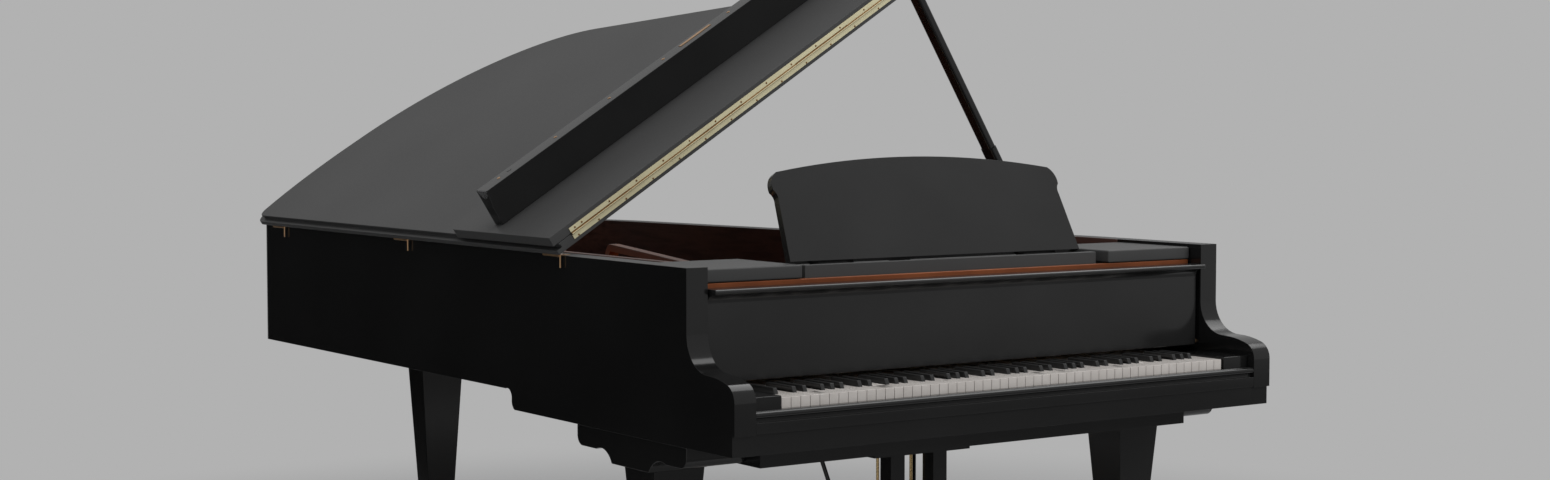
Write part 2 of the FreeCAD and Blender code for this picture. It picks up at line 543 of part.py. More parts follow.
def build_case():
    keep("outer_rim", feature("outer_rim", build_outer_rim()))
    board_top = get.board_low + get.board_thick
    lining = slab(get.rim_wall, get.lining_front, board_top, get.rim_top)
    lining = lining.cut(slab(get.rim_wall + get.lining_thick, get.lining_front, board_top, get.rim_top))
    lining = lining.cut(Part.makeBox(2 * get.half_width, get.belly_front - get.lining_front,
                                     get.plate_low - board_top,
                                     Vector(-get.half_width, get.lining_front, board_top)))
    keep("rim_lining", feature("rim_lining", lining))
    # The inner rim is laid up in three lengths: along the bass side, round the tail, along the bent side.
    inner_front = get.belly_front + get.belly_thick
    inner = slab(get.rim_wall, inner_front, get.inner_low, get.board_low)
    inner = inner.cut(slab(get.rim_wall + get.inner_wall, inner_front, get.inner_low, get.board_low))
    inside = get.half_width - get.rim_wall
    belly = box("belly_rail", (f"-({inside_text})", "belly_front", "apron_low + bed_thick"),
                (inside_text, "belly_front + belly_thick", "board_low"))
    bass_edge = inside - get.inner_wall - get.tail_corner
    tail_front = get.tail_y - get.rim_wall - get.inner_wall - get.tail_corner
    reach = get.tail_y
    lengths = [Part.makeBox(reach - bass_edge, reach, reach, Vector(-reach, inner_front, 0))]
    lengths.append(Part.makeBox(2 * reach, reach, reach, Vector(-bass_edge, tail_front, 0)))
    lengths.append(Part.makeBox(2 * reach, tail_front - inner_front, reach,
                                Vector(-bass_edge, inner_front, 0)))
    ring = Part.makeCompound([inner.common(length) for length in lengths])
    keep("inner_rim", group("inner_rim", [feature("inner_ring", ring), belly]))
    hollow = slab(get.rim_wall + get.inner_wall, inner_front, get.inner_low, get.board_low)
    beams = []
    for i in range(int(get.beam_count)):
        middle = -inside + (i + 1) * get.beam_pitch
        beam = Part.makeBox(get.beam_wide, get.tail_y, get.beam_tall,
                            Vector(middle - get.beam_wide / 2, inner_front, get.inner_low))
        beams.append(hollow.common(beam))
    floor = slab(get.rim_wall, get.leg_beam_y, get.rim_low, get.inner_low)
    beams.append(floor.common(Part.makeBox(2 * get.half_width, get.leg_beam_wide, get.beam_tall,
                                           Vector(-get.half_width, get.leg_beam_y, get.rim_low))))
    keep("belly_beams", feature("belly_beams", Part.makeCompound(beams)))
    panel = slab(get.rim_wall, get.belly_front, get.board_low, board_top)
    rib_room = slab(get.rim_wall + get.inner_wall + get.rib_gap, inner_front, get.board_low - get.rib_tall,
                    get.board_low)
    ribs = []
    for i in range(int(get.rib_count)):
        rib = Part.makeBox(2 * get.half_width, get.rib_wide, get.rib_tall,
                           Vector(-get.half_width, get.rib_first + i * get.rib_pitch,
                                  get.board_low - get.rib_tall))
        ribs.append(rib_room.common(rib))
    keep("soundboard", feature("soundboard", Part.makeCompound([panel] + ribs)))


inside_text = "half_width - rim_wall"


def rod_holes(name, low, high):
    """Clearance holes for the three pedal rods through a board."""
    holes = []
    for i in (-1, 0, 1):
        start = (f"{i} * pedal_pitch", "rod_y", f"({low}) - cut_past")
        holes.append(cylinder(f"{name}_rod_hole", start, "rod_hole", f"({high}) - ({low}) + 2 * cut_past"))
    return holes


def build_keybed():
    bed = box("keybed_board", (f"-({inside_text})", "toe_front", "apron_low"),
              (inside_text, "bed_back", "apron_low + bed_thick"))
    keep("keybed", cut("keybed", bed, rod_holes("keybed", "apron_low", "apron_low + bed_thick")))
    slip_low = "apron_low + bed_thick"
    slip_back = "arm_front + slip_thick"
    outline = [
        (slip_back, slip_low), (slip_back, "slip_top"),
        ("arm_front + bead_radius", "slip_top"),
        ("arm_front + bead_radius", "bead_low + 2 * bead_radius"),
        ("arm_front + bead_radius", "bead_low", "arm_front + bead_radius", -1),
        ("arm_front + bead_radius + groove_deep", "bead_low"),
        ("arm_front + bead_radius + groove_deep", "groove_low"),
        ("arm_front", "groove_low"), ("arm_front", slip_low),
    ]
    keep("key_slip", padded("key_slip", "YZ_Plane", outline, f"2 * ({inside_text} - slip_gap)"))
    blocks = []
    for name, a, b in (("bass", "-(half_width - rim_wall)", "-block_inner"),
                       ("treble", "block_inner", inside_text)):
        blocks.append(box(f"{name}_block", (a, "arm_front + slip_thick + slip_gap", slip_low),
                          (b, "block_deep", "block_top")))
    keep("key_blocks", group("key_blocks", blocks))
    cross = box("cross_board_blank", ("-cross_half", "cross_front", "cross_low"),
                ("cross_half", "cross_back", "apron_low"))
    keep("cross_board", cut("cross_board", cross, rod_holes("cross", "cross_low", "apron_low")))


OCTAVE = ("A", "A#", "B", "C", "C#", "D", "D#", "E", "F", "F#", "G", "G#")
SHARP_SHIFT = {"A#": 0.0, "C#": -0.12, "D#": 0.12, "F#": -0.15, "G#": 0.0}


def note_name(note):
    """Note 0 is the lowest A."""
    return OCTAVE[note % len(OCTAVE)]


def is_sharp(note):
    return note_name(note) in SHARP_SHIFT


def white_left(index):
    return -WHITE_COUNT * get.white_pitch / 2 + index * get.white_pitch


def key_layout():
    """The white keys' left edges and the black keys' middles, from the lowest note up."""
    whites, sharps = [], []
    for note in range(NOTE_COUNT):
        if is_sharp(note):
            boundary = white_left(len(whites))
            sharps.append(boundary + SHARP_SHIFT[note_name(note)] * get.sharp_wide)
        else:
            whites.append(white_left(len(whites)))
    return whites, sharps


def build_keys():
    """White keys in a head and a tail, as their facings are; black keys as a cap on a stick."""
    whites, sharps = key_layout()
    low = get.key_top - get.key_tall
    half_gap = get.white_gap / 2
    reach = get.sharp_wide / 2 + get.key_side_gap
    naturals = []
    for left in whites:
        right = left + get.white_pitch
        head = Part.makeBox(get.white_pitch - get.white_gap, get.head_deep, get.key_tall,
                            Vector(left + half_gap, 0, low))
        tail_left = left + half_gap
        tail_right = right - half_gap
        for middle in sharps:
            if abs(middle - left) < get.white_pitch / 2:
                tail_left = middle + reach
            if abs(middle - right) < get.white_pitch / 2:
                tail_right = middle - reach
        tail = Part.makeBox(tail_right - tail_left, get.key_back - get.head_deep, get.key_tall,
                            Vector(tail_left, get.head_deep, low))
        naturals += [head, tail]
    keep("naturals", feature("naturals", Part.makeCompound(naturals)))
    top = get.key_top + get.sharp_rise
    stick_top = get.key_top - get.stick_drop
    front = get.head_deep + get.key_side_gap
    profile = [yz(front, stick_top), yz(front, get.key_top), yz(front + get.sharp_slope, top),
               yz(get.sharp_back, top), yz(get.sharp_back, stick_top), yz(front, stick_top)]
    blacks = []
    for middle in sharps:
        left = middle - get.sharp_wide / 2
        cap = Part.Face(Part.makePolygon(profile))
        cap.translate(Vector(left, 0, 0))
        stick = Part.makeBox(get.sharp_wide, get.key_back - front, stick_top - low, Vector(left, front, low))
        blacks += [cap.extrude(Vector(get.sharp_wide, 0, 0)), stick]
    keep("sharps", feature("sharps", Part.makeCompound(blacks)))


def build_key_frame():
    """Three rails and cross sticks under the keys, and the stand that carries the hammers."""
    low = "apron_low + bed_thick + key_clear"
    fulcrum_z = "key_top - key_tall - key_clear - fulcrum_radius"
    back_front = "key_back - back_rail_wide"
    pieces = [
        box("front_rail", ("-frame_half", "frame_front", low),
            ("frame_half", "frame_front + front_rail_wide", f"{low} + front_rail_tall")),
        box("balance_rail", ("-frame_half", "key_pivot_y - balance_wide / 2", low),
            ("frame_half", "key_pivot_y + balance_wide / 2", fulcrum_z)),
        cylinder("fulcrum", ("-frame_half", "key_pivot_y", fulcrum_z), "fulcrum_radius", "2 * frame_half",
                 ALONG_X),
        box("back_rail", ("-wing_half", back_front, low),
            ("wing_half", "key_back", "key_top - key_tall - key_clear")),
    ]
    for i in range(int(get.stick_count)):
        left = f"-frame_half + {i} * (2 * frame_half - stick_wide) / (stick_count - 1)"
        pieces.append(box(f"frame_stick_{i}", (left, "frame_front", low),
                          (f"{left} + stick_wide", "key_back", f"{low} + stick_tall")))
    keep("key_frame", fuse("key_frame", pieces))
    frame_top = "key_top - key_tall - key_clear"
    stand = []
    for name, a, b in (("bass", "-plate_inner - plate_thick", "-plate_inner"),
                       ("treble", "plate_inner", "plate_inner + plate_thick")):
        stand.append(box(f"{name}_stand_foot", (a, back_front, frame_top), (b, "key_back", "stand_top")))
        stand.append(box(f"{name}_stand_arm", (a, "stand_front", "hammer_axis_z - rail_thick"),
                         (b, "key_back", "stand_top")))
    stand.append(box("hammer_rail", ("-plate_inner", "stand_front", "hammer_axis_z - rail_thick / 2"),
                     ("plate_inner", "stand_front + rail_thick", "hammer_axis_z + rail_thick / 2")))
    rest_high = "hammer_axis_z - shank_thick / 2 - key_clear"
    stand.append(box("rest_rail", ("-plate_inner", "rest_rail_y", f"{rest_high} - rest_rail_tall"),
                     ("plate_inner", "rest_rail_y + rail_thick", rest_high)))
    keep("action_stand", fuse("action_stand", stand))


def note_x(note):
    span = WHITE_COUNT * get.white_pitch
    return -span / 2 + (note + 0.5) * span / NOTE_COUNT


def build_hammer(x):
    left = x - get.shank_thick / 2
    low = get.hammer_axis_z - get.shank_thick / 2
    boss = Part.makeCylinder(get.boss_radius, get.shank_thick,
                             Vector(left, get.hammer_axis_y, get.hammer_axis_z), Vector(1, 0, 0))
    shank = Part.makeBox(get.shank_thick, get.hammer_reach, get.shank_thick,
                         Vector(left, get.hammer_axis_y, low))
    middle = get.hammer_axis_y + get.hammer_reach
    head_low = Vector(x - get.head_wide / 2, middle - get.head_long / 2, low)
    head = Part.makeBox(get.head_wide, get.head_long, get.head_top - low, head_low)
    return boss.fuse([shank, head]).removeSplitter()


def build_hammers():
    for label, wanted in (("white_hammers", False), ("black_hammers", True)):
        hammers = [build_hammer(note_x(n)) for n in range(NOTE_COUNT) if is_sharp(n) == wanted]
        keep(label, feature(label, Part.makeCompound(hammers)))


# Strings, and what follows their lines


class Course:
    """One note's string: where it starts, crosses its bridge and is hitched."""

    def __init__(self, note):
        self.note = note
        self.bass = note < get.bass_count
        self.x = note_x(note)
        self.pin_y = get.pin_row_y + (note % 3) * get.pin_row_pitch
        if self.bass:
            share = note / (get.bass_count - 1)
            self.length = get.bass_longest + (get.bass_shortest - get.bass_longest) * share
            self.lean = get.bass_lean_ratio
            self.z = get.bass_z
            self.radius = get.bass_radius
        else:
            top = NOTE_COUNT - 1
            share = (top - note) / (top - get.bass_count)
            self.length = get.shortest * (get.longest / get.shortest) ** share
            self.lean = -get.treble_lean_ratio
            self.z = get.string_z
            self.radius = get.treble_radius
        self.tail = get.tail_least + get.tail_ratio * self.length

    def at(self, y):
        return Vector(self.x + self.lean * (y - get.fan_y), y, self.z)

    def bridge(self):
        return self.at(get.speaking_y + self.length)

    def hitch(self):
        return self.at(get.speaking_y + self.length + self.tail)

    def shape(self):
        start = self.at(self.pin_y + get.pin_radius + self.radius)
        way = self.hitch() - start
        return Part.makeCylinder(self.radius, way.Length, start, way)


def curve(points):
    spline = Part.BSplineCurve()
    spline.interpolate(points)
    return spline.toShape()


def flat(point, z):
    return Vector(point.x, point.y, z)


def strip(points, half, low, high):
    """A bar of even width that follows points in plan."""
    left, right = [], []
    for i, point in enumerate(points):
        before = points[max(i - 1, 0)]
        after = points[min(i + 1, len(points) - 1)]
        way = flat(after - before, 0).normalize()
        across = Vector(-way.y, way.x, 0) * half
        left.append(flat(point, low) + across)
        right.append(flat(point, low) - across)
    edges = [curve(left), line(left[-1], right[-1]), curve(right[::-1]), line(right[0], left[0])]
    return Part.Face(Part.Wire(edges)).extrude(Vector(0, 0, high - low))


BRIDGE_STEPS = 8


def spaced(courses):
    last = len(courses) - 1
    return [courses[round(i * last / BRIDGE_STEPS)] for i in range(BRIDGE_STEPS + 1)]


def build_strings():
    courses = [Course(n) for n in range(NOTE_COUNT)]
    bass = [c for c in courses if c.bass]
    treble = [c for c in courses if not c.bass]
    keep("treble_strings", feature("treble_strings", Part.makeCompound([c.shape() for c in treble])))
    keep("bass_strings", feature("bass_strings", Part.makeCompound([c.shape() for c in bass])))
    iron_top = get.plate_low + get.iron_thick
    pins = [Part.makeCylinder(get.pin_radius, get.pin_top - iron_top, flat(c.at(c.pin_y), iron_top))
            for c in courses]
    keep("tuning_pins", feature("tuning_pins", Part.makeCompound(pins)))
    board_top = get.board_low + get.board_thick
    long_bridge = strip([c.bridge() for c in spaced(treble)], get.bridge_half, board_top,
                        get.string_z - get.treble_radius - get.bridge_gap)
    bass_bridge = strip([c.bridge() for c in spaced(bass)], get.bridge_half, board_top,
                        get.bass_z - get.bass_radius - get.bridge_gap)
    keep("bridges", feature("bridges", Part.makeCompound([long_bridge, bass_bridge])))
    keep("iron_plate", feature("iron_plate", build_plate(bass, treble)))
    half = f"({inside_text} - lining_thick - plate_clear)"
    keep("pinblock", box("pinblock", (f"-{half}", "plate_front", "pinblock_low"),
                         (half, "pinblock_back", "plate_low")))
    build_dampers(courses)


def build_plate(bass, treble):
    """A cast web with two windows for the strings, bars above them, and a ridge along its front."""
    inset = get.rim_wall + get.lining_thick + get.plate_clear
    low, high = get.plate_low, get.plate_low + get.iron_thick
    plate = slab(inset, get.plate_front, low, high)
    margin = Vector(0, get.window_margin, 0)
    hitches = [flat(c.hitch() - margin, low) for c in spaced(treble)]
    top_right = flat(hitches[-1], low)
    front = get.web_back
    side_x = get.window_side
    tail_left = Vector(-side_x, hitches[0].y, low)
    edges = [curve(hitches), line(top_right, Vector(side_x, top_right.y, low)),
             line(Vector(side_x, top_right.y, low), Vector(side_x, front, low)),
             line(Vector(side_x, front, low), Vector(-side_x, front, low)),
             line(Vector(-side_x, front, low), tail_left), line(tail_left, hitches[0])]
    window = Part.Face(Part.Wire(edges)).extrude(Vector(0, 0, get.iron_thick))
    bass_room = [c.bridge() for c in spaced(bass)]
    first, last = bass_room[0], bass_room[-1]
    past = (first - last).normalize() * (get.bridge_half + get.window_margin)
    reach = get.bridge_half + get.window_margin
    bass_window = strip([first + past] + bass_room[1:-1] + [last - past], reach, low, high)
    plate = plate.cut(window).cut(bass_window)
    bars = [build_bar(Vector(-get.bass_bar_x, get.plate_front + get.bass_bar_in, high), get.bass_bar_long,
                      get.strut_low, get.strut_tall, get.bass_bar_angle, get.bass_bar_drop)]
    for i in range(int(get.bar_count)):
        note = int(get.bass_count + i * get.bar_note_count)
        start = Vector((note_x(note - 1) + note_x(note)) / 2, get.plate_front, high)
        length = Course(note).hitch().y + get.strut_past - get.plate_front
        if i == 0:
            bars.append(build_bar(start, length, get.strut_low, get.strut_tall))
        else:
            bars.append(build_bar(start, length, get.treble_strut_low, get.treble_strut_tall))
    half = get.half_width - inset
    ridge = Part.makeBox(2 * half, get.ridge_deep, get.ridge_high - high,
                         Vector(-half, get.plate_front, high))
    return plate.fuse(bars + [ridge]).removeSplitter()


def build_bar(start, length, low, tall, lean=0, drop=0):
    """A raised bar over the strings, lower by drop at its front; its far end rounds down."""
    high = low + tall - start.z
    foot = get.strut_foot
    gap = low - start.z
    wall = [Vector(0, 0, 0), Vector(0, 0, high - drop), Vector(length - high, 0, high)]
    round_end = Part.Arc(wall[-1], Vector(length - high + high * sine(45), 0, high * cosine(45)),
                         Vector(length, 0, 0)).toShape()
    inner = [Vector(length, 0, 0), Vector(length - foot, 0, 0), Vector(length - foot - gap, 0, gap),
             Vector(foot, 0, gap), Vector(foot, 0, 0), Vector(0, 0, 0)]
    edges = [line(a, b) for a, b in zip(wall, wall[1:])] + [round_end]
    edges += [line(a, b) for a, b in zip(inner, inner[1:])]
    bar = Part.Face(Part.Wire(edges)).extrude(Vector(0, get.strut_wide, 0))
    bar.translate(Vector(0, -get.strut_wide / 2, 0))
    bar.rotate(Vector(), Vector(0, 0, 1), 90 - lean)
    bar.translate(start)
    return bar


def build_dampers(courses):
    """A felted head over each damped note, its wire, and the bar that lifts them all."""
    pieces = []
    bar_top = get.lift_bar_z + get.lift_bar_tall
    middle = get.damper_y + get.damper_long / 2
    damped = courses[:int(get.damped_count)]
    pitch = damped[1].x - damped[0].x
    for course in damped:
        here = course.at(middle)
        head_low = here.z + course.radius + get.damper_gap
        half = (pitch - get.shank_thick / 2) / 2
        head = Part.makeBox(2 * half, get.damper_long, get.damper_tall,
                            Vector(here.x - half, get.damper_y, head_low))
        wire = Part.makeCylinder(get.wire_radius, head_low - bar_top,
                                 Vector(here.x + half - 2 * get.wire_radius, middle, bar_top))
        pieces.append(head.fuse(wire).removeSplitter())
    ends = [damped[0].at(middle).x, damped[-1].at(middle).x]
    pieces.append(Part.makeBox(ends[1] - ends[0] + pitch, get.damper_long, get.lift_bar_tall,
                               Vector(ends[0] - pitch / 2, get.damper_y, get.lift_bar_z)))
    keep("dampers", feature("dampers", Part.makeCompound(pieces)))
    reach = f"({inside_text} + fall_pin_deep - slip_gap)"
    rod = cylinder("sostenuto_bar", (f"-{reach}", "sostenuto_y", "sostenuto_z"), "sostenuto_radius",
                   f"2 * {reach}", ALONG_X)
    blade = box("sostenuto_blade", ("-blade_half", "sostenuto_y - blade_thick / 2", "sostenuto_z"),
                ("blade_half", "sostenuto_y + blade_thick / 2", "sostenuto_z + blade_tall"))
    keep("sostenuto_rod", fuse("sostenuto_rod", [rod, blade]))


# Lid: drawn shut, then opened about the spine hinges


def lid_axis():
    return Vector(-get.half_width - get.axis_out, 0, get.rim_top)


def opened(shape):
    """Turns a shape drawn on the shut lid to the open lid."""
    shape.rotate(lid_axis(), Vector(0, -1, 0), get.open_angle)
    return shape


def folded(shape):
    """Turns a shape drawn on the flap laid flat to the flap folded back on the lid."""
    axis_z = get.rim_top + get.lid_gap + get.lid_thick + get.flap_lift
    shape.rotate(Vector(0, get.flap_line - get.flap_axis_gap, axis_z), Vector(1, 0, 0), 180)
    return shape


def lid_layers(front):
    """The lid's moulded edge: a thin lip, a cove below it and a bead at the bottom."""
    low = get.rim_top + get.lid_gap
    high = low + get.lid_thick
    cove_high = high - get.lip_tall
    cove_low = cove_high - get.cove_tall
    layers = [
        slab(-get.lid_bead_out, front, low, cove_low),
        slab(get.lip_in + get.cove_deep, front, cove_low, cove_high),
        slab(get.lip_in, front, cove_high, high),
    ]
    return layers[0].fuse(layers[1:]).removeSplitter()


def build_lid():
    low = get.rim_top + get.lid_gap
    keep("lid_main", feature("lid_main", opened(lid_layers(get.flap_line))))
    high = low + get.lid_thick
    back = get.flap_line - 2 * get.flap_axis_gap
    face = plan_face(-get.flap_out, get.flap_front)
    span = 2 * (get.half_width + get.flap_out)
    corner_box = Part.makeBox(span, back - get.flap_front, get.lid_thick,
                              Vector(-span / 2, get.flap_front, low))
    front_edges = [e for e in corner_box.Edges
                   if e.BoundBox.ZLength > get.cut_past and e.BoundBox.YMax < get.flap_front + get.cut_past]
    corner_box = corner_box.makeFillet(get.flap_corner, front_edges)
    face.translate(Vector(0, 0, low))
    flap = face.extrude(Vector(0, 0, get.lid_thick)).common(corner_box)
    keep("lid_flap", feature("lid_flap", opened(folded(flap))))
    foot = get.flap_line - 2 * get.flap_axis_gap - (get.batten_y - get.flap_axis_gap)
    section = [(0, 0), (0, get.batten_kink), (get.batten_lean, get.batten_tall),
               (-get.batten_foot, get.batten_tall), (-get.batten_foot, 0), (0, 0)]
    polygon = Part.makePolygon([yz(foot + dy, low - dz) for dy, dz in section])
    bar = Part.Face(polygon).extrude(Vector(2 * get.batten_half, 0, 0))
    bar.translate(Vector(-get.batten_half, 0, 0))
    keep("flap_batten", feature("flap_batten", opened(folded(bar))))
    build_flap_hinge(high)
    build_spine_hinges(low)


def knuckles(axis, way, start, length, count, first, outer, inner, gap):
    """Every second knuckle of a hinge, starting with the first or the second."""
    pitch = length / count
    tubes = []
    for i in range(first, count, 2):
        base = axis + way * (start + i * pitch + gap / 2)
        tube = Part.makeCylinder(outer, pitch - gap, base, way)
        tubes.append(tube.cut(Part.makeCylinder(inner, pitch - gap, base, way)))
    return tubes


def build_flap_hinge(lid_top):
    """A continuous hinge on the two edges that face forward when the flap is folded back."""
    axis_z = lid_top + get.flap_lift
    start = -get.half_width + get.hinge_inset
    length = -2 * start
    axis = Vector(0, get.flap_line - get.flap_axis_gap, axis_z)
    count = int(get.knuckle_count)
    pitch = length / count
    along = Vector(1, 0, 0)
    bore = get.long_pin + get.pin_play
    reach = get.long_knuckle + get.knuckle_gap
    for label, first, sign in (("flap_hinge_lid_leaf", 0, -1), ("flap_hinge_flap_leaf", 1, 1)):
        near = axis_z + sign * reach
        far = near + sign * get.leaf_wide
        leaf = Part.makeBox(length, get.leaf_thick, abs(far - near),
                            Vector(start, get.flap_line - get.leaf_thick, min(near, far)))
        tubes = knuckles(axis, along, start, length, count, first, get.long_knuckle, bore, get.knuckle_gap)
        for i in range(first, count, 2):
            tab_start = start + i * pitch + get.knuckle_gap / 2
            tab = Part.makeBox(pitch - get.knuckle_gap, get.leaf_thick, reach,
                               Vector(tab_start, get.flap_line - get.leaf_thick, min(near, axis_z)))
            tab = tab.cut(Part.makeCylinder(bore, length, axis + along * start, along))
            tubes.append(tab)
        solids = [leaf.fuse(tubes).removeSplitter()]
        if first == 0:
            solids.append(Part.makeCylinder(get.long_pin, length, axis + along * start, along))
        keep(label, feature(label, opened(Part.makeCompound(solids))))


def build_spine_hinges(lid_low):
    """Three hinges whose pins pull out: each pin's front end is bent down as a handle."""
    axis = lid_axis()
    along = Vector(0, 1, 0)
    long = get.spine_hinge_long
    bore = get.spine_pin + get.pin_play
    clear = get.spine_knuckle + get.knuckle_gap
    case_leaves, lid_leaves, pins = [], [], []
    for y in (get.hinge_front_y, get.hinge_middle_y, get.hinge_rear_y):
        third = long / 3
        case_plate = Part.makeBox(get.spine_leaf_wide, long, get.leaf_thick,
                                  Vector(axis.x + clear, y, get.rim_top))
        case_tubes = knuckles(axis, along, y, long, 3, 0, get.spine_knuckle, bore, get.knuckle_gap)
        for start in (y, y + 2 * third):
            tab = Part.makeBox(clear, third - get.knuckle_gap, get.leaf_thick,
                               Vector(axis.x, start + get.knuckle_gap / 2, get.rim_top))
            case_tubes.append(tab.cut(Part.makeCylinder(bore, long, axis + along * y, along)))
        case_leaves.append(case_plate.fuse(case_tubes).removeSplitter())
        lid_plate = Part.makeBox(get.spine_leaf_wide, long, get.leaf_thick,
                                 Vector(axis.x + clear, y, lid_low - get.leaf_thick))
        lid_tubes = knuckles(axis, along, y, long, 3, 1, get.spine_knuckle, bore, get.knuckle_gap)
        tab = Part.makeBox(clear, third - get.knuckle_gap, get.leaf_thick,
                           Vector(axis.x, y + third + get.knuckle_gap / 2, lid_low - get.leaf_thick))
        lid_tubes.append(tab.cut(Part.makeCylinder(bore, long, axis + along * y, along)))
        lid_leaves.append(opened(lid_plate.fuse(lid_tubes).removeSplitter()))
        front = axis + along * (y - get.spine_pin)
        shaft = Part.makeCylinder(get.spine_pin, long + get.spine_pin, front, along)
        handle = Part.makeCylinder(get.spine_pin, get.pull_long, front - Vector(0, 0, get.pull_long))
        elbow = Part.makeSphere(get.spine_pin, front)
        pins.append(shaft.fuse([handle, elbow]).removeSplitter())
    keep("lid_hinge_case_leaves", feature("lid_hinge_case_leaves", Part.makeCompound(case_leaves)))
    keep("lid_hinge_lid_leaves", feature("lid_hinge_lid_leaves", Part.makeCompound(lid_leaves)))
    keep("lid_hinge_pins", feature("lid_hinge_pins", Part.makeCompound(pins)))


def build_prop():
    """The prop stands square to the open lid and turns on a pin across the case's treble side."""
    foot = Vector(get.prop_x, get.prop_y, get.prop_z)
    up = Vector(-sine(get.open_angle), 0, cosine(get.open_angle))
    out = Vector(cosine(get.open_angle), 0, sine(get.open_angle))
    axis = lid_axis()
    length = get.lid_gap - (foot - axis).dot(up) - get.cup_thick - get.seat_gap
    stick = rounded_bar(get.prop_thick, get.prop_wide, length)
    heel = rounded_bar(get.prop_thick, get.prop_foot, get.prop_foot_long)
    stick = stick.fuse(heel)
    stick.rotate(Vector(), Vector(0, -1, 0), get.open_angle)
    half_eye = get.prop_eye_wide / 2
    eye = Part.makeCylinder(get.prop_eye, get.prop_eye_wide, Vector(-half_eye, 0, 0), Vector(1, 0, 0))
    stick.translate(foot)
    eye.translate(foot)
    bore_long = 4 * get.prop_eye_wide
    bore = Part.makeCylinder(get.prop_pin + get.pin_play, bore_long, foot - Vector(bore_long / 2, 0, 0),
                             Vector(1, 0, 0))
    slice_low = Part.makeBox(bore_long, bore_long, bore_long,
                             foot + Vector(half_eye, -bore_long / 2, -bore_long / 2))
    prop = stick.cut(slice_low).fuse(eye).cut(bore).removeSplitter()
    keep("lid_prop", feature("lid_prop", prop))
    bracket_x = get.prop_x + half_eye + get.seat_gap
    room = slab(get.rim_wall + get.lining_thick, get.lining_front, get.bracket_low, get.bracket_high)
    block = room.common(Part.makeBox(get.rim_wall, get.bracket_deep, get.bracket_high - get.bracket_low,
                                     Vector(bracket_x, get.prop_y - get.bracket_deep / 2, get.bracket_low)))
    pin = Part.makeCylinder(get.prop_pin, get.prop_eye_wide + get.seat_gap,
                            Vector(get.prop_x - half_eye, get.prop_y, get.prop_z), Vector(1, 0, 0))
    keep("prop_bracket", feature("prop_bracket", block.fuse(pin).removeSplitter()))
    across = (foot - axis).dot(out)
    cup = Part.makeCylinder(get.cup_radius, get.cup_thick,
                            Vector(axis.x + across, get.prop_y, get.rim_top + get.lid_gap - get.cup_thick))
    keep("prop_cup", feature("prop_cup", opened(cup)))


def rounded_bar(thick, wide, length):
    """An upright bar with its long edges rounded to half its thickness, less a flat."""
    bar = Part.makeBox(thick, wide, length, Vector(-thick / 2, -wide / 2, 0))
    edges = [e for e in bar.Edges if e.BoundBox.ZLength > length / 2]
    return bar.makeFillet(thick / 3, edges)


def build_music_desk():
    wings, runners = [], []
    for name, sign in (("bass", -1), ("treble", 1)):
        wings.append(sided_box(f"{name}_wing", sign, "wing_inner", f"{inside_text} - wing_gap",
                               "wing_front", "wing_back", "wing_low", "wing_high"))
        ledge = sided_box(f"{name}_ledge", sign, "ledge_inner", "runner_outer", "runner_front",
                          "runner_back", "ledge_low", "tray_low - runner_clear")
        rib = sided_box(f"{name}_guide", sign, "tray_half + 2 * runner_clear", "runner_outer",
                        "runner_front", "runner_back", "ledge_low", "wing_low")
        runners.append(fuse(f"{name}_runner", [ledge, rib]))
    keep("shelf_wings", group("shelf_wings", wings))
    keep("tray_runners", group("tray_runners", runners))
    tray = fuse("desk_tray", [
        box("tray_board", ("-tray_half", "tray_front", "tray_low"), ("tray_half", "tray_back", "tray_high")),
        box("tray_rail", ("-tray_half", "tray_front", "tray_low"),
            ("tray_half", "tray_front + rail_deep", "rail_high")),
    ])
    keep("desk_tray", tray)
    build_desk_panel()


def sided_box(name, sign, inner, outer, front, back, low, high):
    """A box on the bass (-1) or treble (+1) side, between two distances from the middle."""
    left, right = (inner, outer) if sign > 0 else (f"-({outer})", f"-({inner})")
    return box(name, (left, front, low), (right, back, high))


def tilted(shape):
    """Leans a shape drawn upright on the desk's hinge line to the raised desk."""
    shape.rotate(Vector(), Vector(1, 0, 0), -get.desk_angle)
    shape.translate(Vector(0, get.desk_axis_y, get.desk_axis_z))
    return shape


